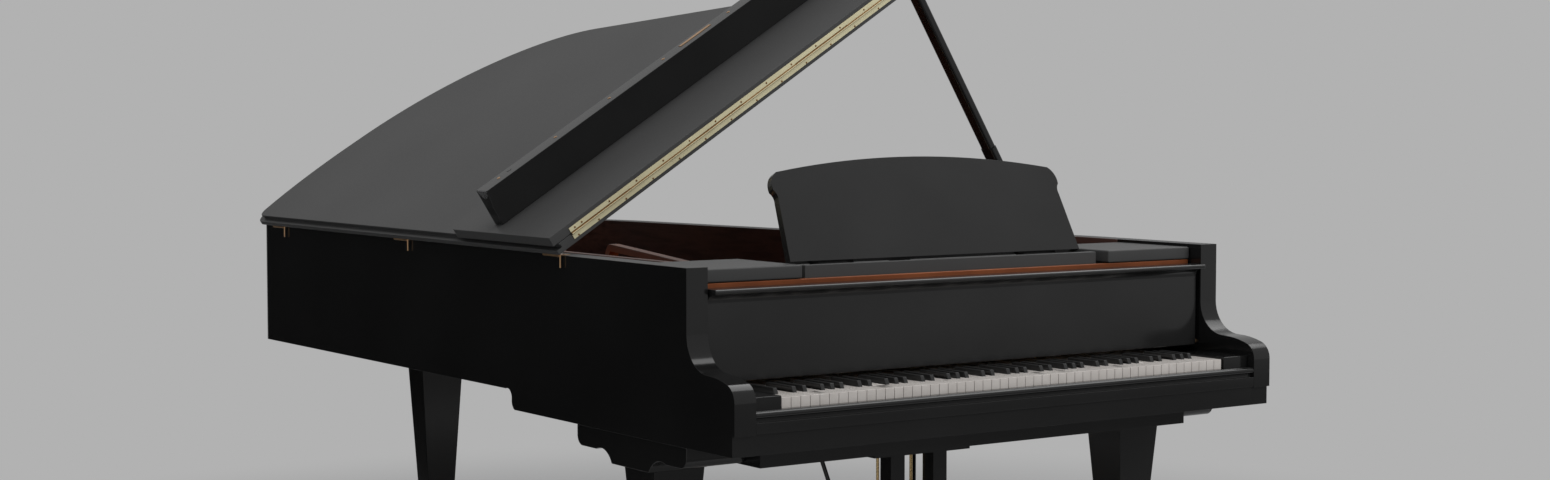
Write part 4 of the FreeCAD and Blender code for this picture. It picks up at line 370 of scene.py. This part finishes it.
dark_veneer = wood("dark_veneer", (0.072, 0.036, 0.03), (0.034, 0.017, 0.0145), "y", 0.4)
maple = wood("maple", (0.56, 0.4, 0.24), (0.46, 0.31, 0.17), "x")
spruce_long = wood("spruce_long", (0.62, 0.42, 0.2), (0.5, 0.3, 0.12), "y", 0.5)
spruce_cross = wood("spruce_cross", (0.62, 0.42, 0.2), (0.5, 0.3, 0.12), "x", 0.5)
print("woods:", dark_veneer.name, maple.name, spruce_long.name, spruce_cross.name)


# %% Mix the metals
def metal(name, bright, dull, rough, stretch=(1, 1, 1), scale=180):
    finish = new_finish(name, metal=1.0)
    brushing = mottle(finish, scale, stretch, detail=5)
    shades(finish, mottle(finish, 14), "Base Color", (0.3, dull), (0.65, bright))
    shades(finish, brushing, "Roughness", (0.3, rough - 0.06), (0.7, rough + 0.08))
    relief(finish, brushing, 0.00003, 0.3)
    return finish


pale_brass = metal("pale_brass", (0.63, 0.585, 0.385), (0.55, 0.5, 0.32), 0.42, (0.1, 1, 1))
pale_brass.node_tree.nodes["Principled BSDF"].inputs["Metallic"].default_value = 0.25
# Brown brass for the hinge screws. It is also a painted shade on the edges of the flap hinge's
# leaves.
brown_brass_and_painted_shade = metal("brown_brass_and_painted_shade", (0.4, 0.2, 0.07), (0.28, 0.13, 0.05), 0.4)
warm_brass = metal("warm_brass", (0.72, 0.46, 0.26), (0.55, 0.34, 0.18), 0.34)
pedal_brass = metal("pedal_brass", (0.82, 0.6, 0.3), (0.66, 0.45, 0.2), 0.24)
steel = metal("steel", (0.62, 0.62, 0.63), (0.46, 0.46, 0.48), 0.28)
wound_copper = metal("wound_copper", (0.78, 0.36, 0.18), (0.5, 0.2, 0.1), 0.36, (1, 1, 1), 900)

bronze_paint = new_finish("bronze_paint", metal=0.5, shine=0.3)
flakes = mottle(bronze_paint, 700, detail=2)
shades(bronze_paint, mottle(bronze_paint, 9), "Base Color",
       (0.3, (0.17, 0.05, 0.019)), (0.7, (0.26, 0.08, 0.03)))
shades(bronze_paint, flakes, "Roughness", (0.3, 0.34), (0.7, 0.52))
relief(bronze_paint, flakes, 0.0002, 0.4)
print("metals:", pale_brass.name, warm_brass.name, steel.name, bronze_paint.name)

# %% Mix the key tops and the felts
key_white = new_finish("key_white", shine=0.5)
cloudy = mottle(key_white, 30, (1, 0.25, 1))
shades(key_white, cloudy, "Base Color", (0.3, (0.45, 0.42, 0.395)), (0.7, (0.5, 0.47, 0.445)))
shades(key_white, mottle(key_white, 500), "Roughness", (0.3, 0.24), (0.7, 0.34))


def felt(name, light, dark):
    finish = new_finish(name, shine=0.1)
    wool = mottle(finish, 850, detail=6, twist=0.8)
    shades(finish, wool, "Base Color", (0.3, dark), (0.7, light))
    shades(finish, wool, "Roughness", (0.3, 0.88), (0.7, 0.98))
    relief(finish, wool, 0.0006, 0.7)
    finish.node_tree.nodes["Principled BSDF"].inputs["Sheen Weight"].default_value = 0.3
    return finish


white_felt = felt("white_felt", (0.74, 0.7, 0.6), (0.6, 0.56, 0.46))
red_felt = felt("red_felt", (0.34, 0.03, 0.03), (0.2, 0.015, 0.018))
rubber = felt("rubber", (0.03, 0.03, 0.03), (0.016, 0.016, 0.016))
print("soft finishes:", key_white.name, white_felt.name, red_felt.name, rubber.name)

# %% [markdown]
# ## The lacquered case and lid
# Lacquer never ends in a knife edge: the maker sands every corner to a small round, and that
# round is what draws a thin light line along each edge. The CAD solids have sharp corners, so
# each black piece is copied, its loose triangles are merged, flat faces are joined up again,
# and a Bevel modifier eases its edges. A Weighted Normal modifier then keeps the shine of the
# large flat faces even right up to the rounds. The copy stands for the solid. The lid, the shelf
# and the rim's top are rubbed to a satin finish, and the desk, the fallboard and the batten a
# little less, so each group has its own finish. Both groups also get a greyer base colour than
# the other black pieces, which is a painted sheen for the light that falls on them.

# %% Tools that ease a solid's edges
MERGE_WITHIN = 0.00002
FLAT_WITHIN = math.radians(0.4)
SHARP_OVER = math.radians(38)
SMOOTH_UNDER = math.radians(34)


def only(piece):
    bpy.ops.object.select_all(action="DESELECT")
    piece.select_set(True)
    bpy.context.view_layer.objects.active = piece


def merged_copy(node, name):
    """A copy of a solid with its triangles merged and its flat faces joined up."""
    only(solids[node])
    bpy.ops.object.duplicate()
    piece = bpy.context.object
    piece.name = name
    del piece["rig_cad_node"]
    bpy.ops.object.parent_clear(type="CLEAR")
    bpy.ops.object.mode_set(mode="EDIT")
    bpy.ops.mesh.select_all(action="SELECT")
    bpy.ops.mesh.remove_doubles(threshold=MERGE_WITHIN)
    bpy.ops.mesh.dissolve_limited(angle_limit=FLAT_WITHIN)
    bpy.ops.object.mode_set(mode="OBJECT")
    return piece


def ease(piece, round_over):
    """Rounds a piece's sharp edges and evens its shine."""
    only(piece)
    rounding = piece.modifiers.new("eased_edges", "BEVEL")
    rounding.width = round_over
    rounding.segments = 2
    rounding.limit_method = "ANGLE"
    rounding.angle_limit = SHARP_OVER
    bpy.ops.object.modifier_apply(modifier=rounding.name)
    bpy.ops.object.shade_smooth_by_angle(angle=SMOOTH_UNDER)
    shine = piece.modifiers.new("even_shine", "WEIGHTED_NORMAL")
    shine.keep_sharp = True
    bpy.ops.object.modifier_apply(modifier=shine.name)


def coat(piece, *finishes):
    piece.data.materials.clear()
    for finish in finishes:
        piece.data.materials.append(finish)


def dress(node, round_over, finish):
    """An eased copy that stands for a CAD solid."""
    piece = merged_copy(node, node + "_dressed")
    ease(piece, round_over)
    coat(piece, finish)
    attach(piece, solids[node]["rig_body"])
    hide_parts(node)
    return piece


print("easing tools are ready")

# %% Ease the black pieces
BLACK_EDGES = {
    "outer_rim": 0.002, "keybed": 0.002, "key_slip": 0.0015, "key_blocks": 0.002,
    "cross_board": 0.002, "legs": 0.003, "leg_brackets": 0.002, "lyre": 0.002,
    "lid_prop": 0.002, "lyre_braces": 0.001, "desk_strut": 0.0008,
}
# These pieces take the satin lacquer with its painted sheen, and the next ones take the rubbed
# lacquer with a fainter painted sheen.
SATIN_PAINTED_SHEEN_EDGES = {"lid_main": 0.0016, "lid_flap": 0.0016, "shelf_wings": 0.004, "desk_tray": 0.0012}
RUBBED_PAINTED_SHEEN_EDGES = {"flap_batten": 0.0016, "music_desk": 0.002, "fallboard": 0.0018}
dressed = {node: dress(node, edge, black_lacquer) for node, edge in BLACK_EDGES.items()}
for node, edge in SATIN_PAINTED_SHEEN_EDGES.items():
    dressed[node] = dress(node, edge, satin_lacquer_painted_sheen)
for node, edge in RUBBED_PAINTED_SHEEN_EDGES.items():
    dressed[node] = dress(node, edge, rubbed_lacquer_painted_sheen)
print("lacquered pieces:", len(dressed))

# %% Paint a sheen on the top of the rim
RIM_TOP, TOP_DEPTH = 0.978, 0.003
FACING = 0.9


def second_coat(piece, finishes, wanted):
    """Gives the second of two finishes to the faces that a test wants."""
    coat(piece, *finishes)
    for face in piece.data.polygons:
        face.material_index = 1 if wanted(face) else 0


# The rim's upward faces take the satin lacquer, whose lighter grey paints a sheen on the top of
# the rim.
second_coat(dressed["outer_rim"], (black_lacquer, satin_lacquer_painted_sheen),
            lambda face: face.normal.z > FACING and face.center.z > RIM_TOP - TOP_DEPTH)
print("rim faces:", len(dressed["outer_rim"].data.polygons))

# %% Veneer the inside of the rim
dressed["rim_lining"] = dress("rim_lining", 0.0012, dark_veneer)
print("lining faces:", len(dressed["rim_lining"].data.polygons))

# %% [markdown]
# ## Keys
# A white key is a block with a thin front lip, and a black key is a tapered cap. Their edges
# are worn round by fingers, so they get the same easing, the black ones a little rounder.

# %% Ease the keys
dressed["naturals"] = dress("naturals", 0.0007, key_white)
dressed["sharps"] = dress("sharps", 0.0012, key_black)
print("key faces:", len(dressed["naturals"].data.polygons), len(dressed["sharps"].data.polygons))

# %% [markdown]
# ## Metalwork
# Hinges, pedals, casters and the prop's fittings are brass, and the plate is cast iron under
# bronze paint. A casting has soft corners and a turned or stamped part has small crisp ones,
# so the plate is eased most.

# %% Ease and coat the metal pieces
METAL_EDGES = {
    "iron_plate": (0.003, bronze_paint, "bronzed_iron"),
    "flap_hinge_lid_leaf": (0.0004, pale_brass, "brass"),
    "flap_hinge_flap_leaf": (0.0004, pale_brass, "brass"),
    "lid_hinge_case_leaves": (0.0004, warm_brass, "brass"),
    "lid_hinge_lid_leaves": (0.0004, warm_brass, "brass"),
    "lid_hinge_pins": (0.0006, warm_brass, "brass"),
    "prop_bracket": (0.0008, warm_brass, "brass"),
    "prop_cup": (0.0008, warm_brass, "brass"),
    "desk_hinges": (0.0005, black_lacquer, "ebony"),
    "strut_pivot": (0.0005, warm_brass, "brass"),
    "fallboard_pins": (0.0006, warm_brass, "brass"),
}
for kind, edge in (("fork", 0.0012), ("wheel", 0.0015)):
    for leg in ("bass", "treble", "tail"):
        METAL_EDGES[f"{leg}_caster_{kind}"] = (edge, pedal_brass, "brass")
for side in ("left", "middle", "right"):
    METAL_EDGES[side + "_pedal"] = (0.002, pedal_brass, "brass")
for node, (edge, finish, slot) in METAL_EDGES.items():
    dressed[node] = dress(node, edge, finish)
# The leaves' faces that don't look to the front take the brown brass, which is a painted shade on
# their edges and knuckles.
for leaf in ("flap_hinge_lid_leaf", "flap_hinge_flap_leaf"):
    second_coat(dressed[leaf], (pale_brass, brown_brass_and_painted_shade), lambda face: face.normal.y > -FACING)
print("metal pieces:", len(METAL_EDGES))

# %% Coat the solids that keep their shape
KEPT_FINISH = {
    "inner_rim": maple, "belly_beams": spruce_cross, "soundboard": spruce_long,
    "key_frame": spruce_cross, "action_stand": maple, "pinblock": maple, "bridges": maple,
    "tray_runners": black_lacquer, "sostenuto_rod": pedal_brass, "bass_strings": wound_copper,
    "pedal_pin": steel, "left_pedal_rod": pedal_brass, "middle_pedal_rod": pedal_brass,
    "right_pedal_rod": pedal_brass,
}
for node, finish in KEPT_FINISH.items():
    for seat in solids[node].material_slots:
        seat.material = finish
print("kept solids:", len(KEPT_FINISH), "dressed:", len(dressed))

# %% [markdown]
# ## Hammers and dampers
# A hammer is a wooden shank with a head of pressed wool, and a damper is a black block with a
# pad of felt under it. Both could be built new, but the solids already have the right blocks.
# So their corners are eased until the heads look pressed, and the felt faces get the second
# finish. The damper blocks are first cut level with Bisect, where the felt begins.

# %% Felt the hammers
HEAD_FROM, PRESSED = 0.802, 0.0024
for node in ("white_hammers", "black_hammers"):
    dressed[node] = dress(node, PRESSED, maple)
    second_coat(dressed[node], (maple, white_felt), lambda face: face.center.z > HEAD_FROM)
print("hammer faces:", len(dressed["white_hammers"].data.polygons))

# %% Felt the dampers
PADS = ((0.8809, 0.8840), (0.8983, 0.9014))
piece = merged_copy("dampers", "dampers_dressed")
bpy.ops.object.mode_set(mode="EDIT")
for _, high in PADS:
    bpy.ops.mesh.select_all(action="SELECT")
    bpy.ops.mesh.bisect(plane_co=(0, 0, high), plane_no=(0, 0, 1))
bpy.ops.object.mode_set(mode="OBJECT")
ease(piece, 0.0006)
second_coat(piece, (black_lacquer, white_felt),
            lambda face: any(low < face.center.z < high for low, high in PADS))
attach(piece, "damper_set")
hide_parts("dampers")
dressed["dampers"] = piece
print("damper faces:", len(piece.data.polygons))

# %% [markdown]
# ## A screw, and how to copy it
# Small hardware repeats many times: screws, studs, pins and bolts. Each is modelled once from a
# cylinder: the top face is inset and raised into a low dome, and a thin block is taken out of it
# for the driver's slot. Copies are then set in their places, and each row is joined in one piece.


# %% Tools for small hardware
def pick_faces(piece, wanted):
    """Goes to edit mode with only the faces selected that a test wants."""
    only(piece)
    bpy.ops.object.mode_set(mode="EDIT")
    bpy.ops.mesh.select_mode(type="FACE")
    bpy.ops.mesh.select_all(action="DESELECT")
    bpy.ops.object.mode_set(mode="OBJECT")
    for face in piece.data.polygons:
        face.select = wanted(face)
    bpy.ops.object.mode_set(mode="EDIT")


def domed_head(name, radius, tall, sides=12):
    """A round head that faces up, with its underside at the origin."""
    bpy.ops.object.select_all(action="DESELECT")
    bpy.ops.mesh.primitive_cylinder_add(vertices=sides, radius=radius, depth=tall,
                                        location=(0, 0, tall / 2))
    head = bpy.context.object
    head.name = name
    bpy.ops.object.transform_apply(location=True, rotation=False, scale=False)
    pick_faces(head, lambda face: face.normal.z > FACING)
    bpy.ops.mesh.inset(thickness=radius * 0.3, depth=tall * 0.35)
    bpy.ops.object.mode_set(mode="OBJECT")
    return head


def slotted(head, radius, tall):
    """Takes a driver's slot out of a head."""
    bpy.ops.mesh.primitive_cube_add(size=1, location=(0, 0, tall * 1.35))
    blade = bpy.context.object
    blade.scale = (radius * 3, radius * 0.3, tall)
    slit = head.modifiers.new("slot", "BOOLEAN")
    slit.operation = "DIFFERENCE"
    slit.object = blade
    only(head)
    bpy.ops.object.modifier_apply(modifier=slit.name)
    only(blade)
    bpy.ops.object.delete()


def settle(piece, name, body, finish):
    """Puts a piece's place in its mesh, coats it and lets it ride on a body."""
    only(piece)
    bpy.ops.object.transform_apply(location=True, rotation=True, scale=True)
    bpy.ops.object.shade_smooth_by_angle(angle=SMOOTH_UNDER)
    piece.name = name
    coat(piece, finish)
    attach(piece, body)
    return piece


def set_copies(model, places, name, body, finish):
    """Copies of a model, one for each (spot, turn, stretch), joined in one piece."""
    copies = []
    for spot, turn, stretch in places:
        only(model)
        bpy.ops.object.duplicate()
        copy = bpy.context.object
        copy.location = spot
        copy.rotation_euler = turn
        copy.scale = stretch
        copies.append(copy)
    bpy.ops.object.select_all(action="DESELECT")
    for copy in copies:
        copy.select_set(True)
    bpy.context.view_layer.objects.active = copies[0]
    bpy.ops.object.transform_apply(location=True, rotation=True, scale=True)
    bpy.ops.object.join()
    return settle(bpy.context.object, name, body, finish)


def put_away(model):
    """Deletes a model once its copies are set."""
    only(model)
    bpy.ops.object.delete()


EVEN = (1, 1, 1)
UPRIGHT = (0, 0, 0)
print("hardware tools are ready")

# %% [markdown]
# ## The lid's fittings
# A long brass hinge joins the flap to the lid, with a staggered row of screws in each leaf. On
# top of the flap's batten sit brass studs and a small brass plate. The lid is tilted, so their
# places are measured as on a shut lid and then carried round the spine hinges to the open one.

# %% Carry places to the open lid
OPEN = math.radians(32)
HINGE_X, HINGE_Z = -0.7475, RIM_TOP


def on_lid(x, y, z):
    """A place on the shut lid, carried round the hinges to the open lid."""
    across, up = x - HINGE_X, z - HINGE_Z
    return Vector((HINGE_X + across * math.cos(OPEN) - up * math.sin(OPEN), y,
                   HINGE_Z + across * math.sin(OPEN) + up * math.cos(OPEN)))


FACING_FRONT = (math.pi / 2, -OPEN, 0)
FACING_UP = (0, -OPEN, 0)
FACING_DOWN = (math.pi, -OPEN, 0)
print("open by degrees:", round(math.degrees(OPEN)))

# %% Screw down the long hinge
SCREW_PITCH = 0.0822
HINGE_FACE = 0.6356
SCREW_RADIUS, SCREW_TALL = 0.0022, 0.0007
END_SCREW, LAST_SCREW = 0.688, 0.675
SCREW_ROWS = (("flap", -0.6675, 1.0128), ("lid", -0.6285, 0.9935))
hinge_screw = domed_head("hinge_screw", SCREW_RADIUS, SCREW_TALL)
slotted(hinge_screw, SCREW_RADIUS, SCREW_TALL)
for body, first, height in SCREW_ROWS:
    between = [first + i * SCREW_PITCH for i in range(17)]
    across = [-END_SCREW, END_SCREW] + [x for x in between if x < LAST_SCREW]
    spots = [(on_lid(x, HINGE_FACE, height), FACING_FRONT, EVEN) for x in across]
    row = set_copies(hinge_screw, spots, body + "_hinge_screws", body, brown_brass_and_painted_shade)
    print(row.name, len(spots))

# %% Screw down the spine hinges
HINGES_AT = (0.645, 1.397, 2.157)
SCREWS_AT = (0.010, 0.0355, 0.061)
LEAF_X, CASE_LEAF_Z, LID_LEAF_Z = -0.7325, 0.9794, 0.9806
along = [y + step for y in HINGES_AT for step in SCREWS_AT]
on_rim = [((LEAF_X, y, CASE_LEAF_Z), UPRIGHT, EVEN) for y in along]
under_lid = [(on_lid(LEAF_X, y, LID_LEAF_Z), FACING_DOWN, EVEN) for y in along]
set_copies(hinge_screw, on_rim, "spine_hinge_case_screws", "case", brown_brass_and_painted_shade)
set_copies(hinge_screw, under_lid, "spine_hinge_lid_screws", "lid", brown_brass_and_painted_shade)
put_away(hinge_screw)
print("spine hinge screws:", len(on_rim) + len(under_lid))

# %% Set the studs on the batten
BATTEN_TOP = 1.1191
STUD_Y = 0.9095
STUD_ACROSS = (-0.6682, -0.4955, -0.3261, -0.1517, 0.0655, 0.2385, 0.4075, 0.5805)
STUD_FOOT = BATTEN_TOP - 0.0001
STOP_X, STOP_Y, STOP_STRETCH = -0.6351, STUD_Y + 0.003, (1.7, 1.2, 0.6)
stud = domed_head("stud", radius=0.0042, tall=0.0009)
places = [(on_lid(x, STUD_Y, STUD_FOOT), FACING_UP, EVEN) for x in STUD_ACROSS]
set_copies(stud, places, "batten_studs", "flap", warm_brass)
stop = [(on_lid(STOP_X, STOP_Y, STUD_FOOT), FACING_UP, STOP_STRETCH)]
set_copies(stud, stop, "batten_stop", "flap", rubber)
put_away(stud)
print("studs:", len(places))


# %% Lay the brass plate on the batten
def eased_block(size, round_over):
    """A block round the origin with eased edges."""
    bpy.ops.object.select_all(action="DESELECT")
    bpy.ops.mesh.primitive_cube_add(size=1)
    block = bpy.context.object
    block.scale = size
    bpy.ops.object.transform_apply(location=False, rotation=False, scale=True)
    ease(block, round_over)
    return block


PLATE_SIZE = (0.101, 0.011, 0.0012)
PLATE_X, PLATE_Y, PLATE_UP = -0.044, 0.9125, 0.0005
plate = eased_block(PLATE_SIZE, 0.0004)
plate.location = on_lid(PLATE_X, PLATE_Y, BATTEN_TOP + PLATE_UP)
plate.rotation_euler = FACING_UP
settle(plate, "batten_plate", "flap", warm_brass)
print("plate length in m:", round(plate.dimensions.length, 3))

# %% [markdown]
# ## Plugs in the batten's ends
# Each end of the batten shows a pale half-round plug, flush with its top. A cylinder makes the
# round, Bisect takes away its upper half, and a small Bevel softens the rim.

# %% Plug the batten's ends
PLUG_RADIUS, PLUG_TALL = 0.0205, 0.001
PLUG_Y, PLUG_Z, BATTEN_END = 0.9075, BATTEN_TOP - 0.0008, 0.721
bpy.ops.object.select_all(action="DESELECT")
bpy.ops.mesh.primitive_cylinder_add(vertices=40, radius=PLUG_RADIUS, depth=PLUG_TALL)
plug = bpy.context.object
bpy.ops.object.mode_set(mode="EDIT")
bpy.ops.mesh.select_all(action="SELECT")
bpy.ops.mesh.bisect(plane_co=(0, 0, 0), plane_no=(0, 1, 0), use_fill=True, clear_outer=True)
bpy.ops.object.mode_set(mode="OBJECT")
ease(plug, 0.0003)
on_edge = Matrix.Rotation(-OPEN, 3, "Y") @ Euler((math.pi / 2, 0, math.pi / 2)).to_matrix()
places = [(on_lid(x, PLUG_Y, PLUG_Z), on_edge.to_euler(), EVEN)
          for x in (-BATTEN_END, BATTEN_END)]
set_copies(plug, places, "batten_plugs", "flap", steel)
put_away(plug)
print("plugs:", len(places))

# %% [markdown]
# ## Rests for the lid
# Small black rubber rests on the rim keep the shut lid off the lacquer. They are low domed
# heads like the studs, a little taller, and each stands on the top of the rim.

# %% Set the rests on the rim
REST_PLACES = ((-0.7165, 1.05), (-0.7165, 1.85), (-0.36, 2.359))
REST_FOOT = RIM_TOP - 0.0002
rest = domed_head("rest", radius=0.006, tall=0.0026, sides=16)
places = [((x, y, REST_FOOT), UPRIGHT, EVEN) for x, y in REST_PLACES]
set_copies(rest, places, "lid_rests", "case", rubber)
put_away(rest)
print("rests:", len(places))

# %% [markdown]
# ## Strings, pins and the plate's hardware
# Above the bass every note has three thin steel strings side by side, and each string winds
# round its own pin. The solids hold one wire for each note, which is enough for a machine but
# looks bare from above. So one wire and one pin are modelled and copied to their places, with
# brass studs that guide each note's strings, pins that hold their far ends, and plate bolts.

# %% Where the strings run
NOTES, BASS_NOTES = 88, 22
FIRST_X, NOTE_PITCH = -0.61256, 0.0139218
SPEAKING_Y, FAN_Y = 0.350, 0.363
TREBLE_Z, BASS_Z, WEB_TOP = 0.880, 0.896, 0.866
TREBLE_LEAN, BASS_LEAN = -0.08, 0.2
BASS_LONGEST, BASS_SPREAD = 1.610, 0.160
TREBLE_LONGEST, SHORTEST = 1.470, 0.112
PAST_BRIDGE, PAST_SHARE = 0.060, 0.12


def string_line(note):
    """How far a note's string speaks, how much it leans, and its height."""
    if note < BASS_NOTES:
        return BASS_LONGEST - BASS_SPREAD * note / (BASS_NOTES - 1), BASS_LEAN, BASS_Z
    share = (NOTES - 1 - note) / (NOTES - 1 - BASS_NOTES)
    return SHORTEST * (TREBLE_LONGEST / SHORTEST) ** share, TREBLE_LEAN, TREBLE_Z


def on_string(note, y):
    """The place on a note's string at a distance y from the front."""
    lean, height = string_line(note)[1:]
    return Vector((FIRST_X + (note + 0.5) * NOTE_PITCH + lean * (y - FAN_Y), y, height))


def hitch(note):
    """Where a note's string is held at its far end."""
    length = string_line(note)[0]
    return on_string(note, SPEAKING_Y + length + PAST_BRIDGE + PAST_SHARE * length)


print("longest and shortest string in m:",
      [round(string_line(note)[0], 3) for note in (0, NOTES - 1)])

# %% Stretch the treble strings
WIRE = 0.0005
PIN_ROWS = (0.212, 0.237, 0.262)
PAST_PIN, FAR_SPREAD = 0.004, 0.0034
bpy.ops.object.select_all(action="DESELECT")
bpy.ops.mesh.primitive_cylinder_add(vertices=6, radius=WIRE, depth=1, location=(0, 0.5, 0),
                                    rotation=(math.pi / 2, 0, 0))
wire = bpy.context.object
bpy.ops.object.transform_apply(location=True, rotation=True, scale=False)
pick_faces(wire, lambda face: abs(face.normal.y) > FACING)
bpy.ops.mesh.inset(thickness=WIRE * 0.4, depth=WIRE)
bpy.ops.object.mode_set(mode="OBJECT")
places = []
for note in range(BASS_NOTES, NOTES):
    for row, y in enumerate(PIN_ROWS):
        start = on_string(note, y + PAST_PIN) + Vector(((row - 1) * NOTE_PITCH / 3, 0, 0))
        run = hitch(note) + Vector(((row - 1) * FAR_SPREAD, 0, 0)) - start
        places.append((start, run.to_track_quat("Y", "Z").to_euler(), (1, run.length, 1)))
treble_wires = set_copies(wire, places, "treble_wires", "case", steel)
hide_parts("treble_strings")
put_away(wire)
print("treble wires:", len(places))

# %% Drive the tuning pins
PIN_RADIUS, PIN_TALL = 0.0032, 0.034
COIL_LOW, COIL_HIGH = 0.0125, 0.0155
COIL_SLOPE, TIP_SLOPE, RAISED = 0.0002, 0.0009, 0.0006
bpy.ops.object.select_all(action="DESELECT")
bpy.ops.mesh.primitive_cylinder_add(vertices=8, radius=PIN_RADIUS, depth=PIN_TALL,
                                    location=(0, 0, PIN_TALL / 2))
pin = bpy.context.object
bpy.ops.object.transform_apply(location=True, rotation=False, scale=False)
bpy.ops.object.mode_set(mode="EDIT")
for level in (COIL_LOW, COIL_HIGH):
    bpy.ops.mesh.select_all(action="SELECT")
    bpy.ops.mesh.bisect(plane_co=(0, 0, level), plane_no=(0, 0, 1))
bpy.ops.object.mode_set(mode="OBJECT")
pick_faces(pin, lambda face: COIL_LOW < face.center.z < COIL_HIGH)
bpy.ops.mesh.inset(thickness=COIL_SLOPE, depth=RAISED)
bpy.ops.object.mode_set(mode="OBJECT")
pick_faces(pin, lambda face: face.normal.z > FACING and face.center.z > COIL_HIGH)
bpy.ops.mesh.inset(thickness=TIP_SLOPE, depth=RAISED)
bpy.ops.object.mode_set(mode="OBJECT")
places = []
for note in range(NOTES):
    treble = note >= BASS_NOTES
    for y in PIN_ROWS if treble else (PIN_ROWS[note % 3],):
        shift = (PIN_ROWS.index(y) - 1) * NOTE_PITCH / 3 if treble else 0
        foot = on_string(note, y).to_2d().to_3d() + Vector((shift, 0, WEB_TOP))
        places.append((foot, UPRIGHT, EVEN))
pins = set_copies(pin, places, "tuning_pin_set", "case", steel)
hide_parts("tuning_pins")
put_away(pin)
print("tuning pins:", len(places))

# %% Set the guide studs and the far pins
GUIDE_Y, GUIDE_STRETCH = 0.292, (1, 1, 2.2)
PEG_BACK, PEG_STRETCH = 0.002, (1, 1, 1.8)
FOOT_Z = WEB_TOP - 0.0003
guide = domed_head("guide", radius=0.0042, tall=0.0095, sides=8)
spots = [on_string(note, GUIDE_Y) for note in range(NOTES)]
places = [((spot.x, spot.y, FOOT_Z), UPRIGHT, GUIDE_STRETCH) for spot in spots]
set_copies(guide, places, "string_guides", "case", pedal_brass)
put_away(guide)
peg = domed_head("peg", radius=0.0016, tall=0.017, sides=8)
spots = [hitch(note) for note in range(NOTES)]
places = [((spot.x, spot.y + PEG_BACK, FOOT_Z), UPRIGHT, PEG_STRETCH) for spot in spots]
set_copies(peg, places, "hitch_pins", "case", steel)
put_away(peg)
print("guides and far pins:", 2 * len(places))

# %% Bolt the plate down and lay its felt
BOLT_X, FIRST_BOLT, BOLT_PITCH, BOLT_COUNT = -0.660, 0.62, 0.25, 7
FRONT_BOLTS = [(-0.668, 0.24), (0.66, 0.24), (0.655, 0.45)]
bolt_places = [(BOLT_X, FIRST_BOLT + i * BOLT_PITCH) for i in range(BOLT_COUNT)] + FRONT_BOLTS
bolt = domed_head("bolt", radius=0.009, tall=0.006)
places = [((x, y, FOOT_Z), UPRIGHT, EVEN) for x, y in bolt_places]
set_copies(bolt, places, "plate_bolts", "case", bronze_paint)
put_away(bolt)
FELT_SIZE = (1.24, 0.011, 0.005)
FELT_X, FELT_Y, FELT_UP = -0.006, 0.2795, 0.0022
braid = eased_block(FELT_SIZE, 0.0016)
braid.location = (FELT_X, FELT_Y, WEB_TOP + FELT_UP)
settle(braid, "string_felt", "case", red_felt)
print("bolts:", len(bolt_places))
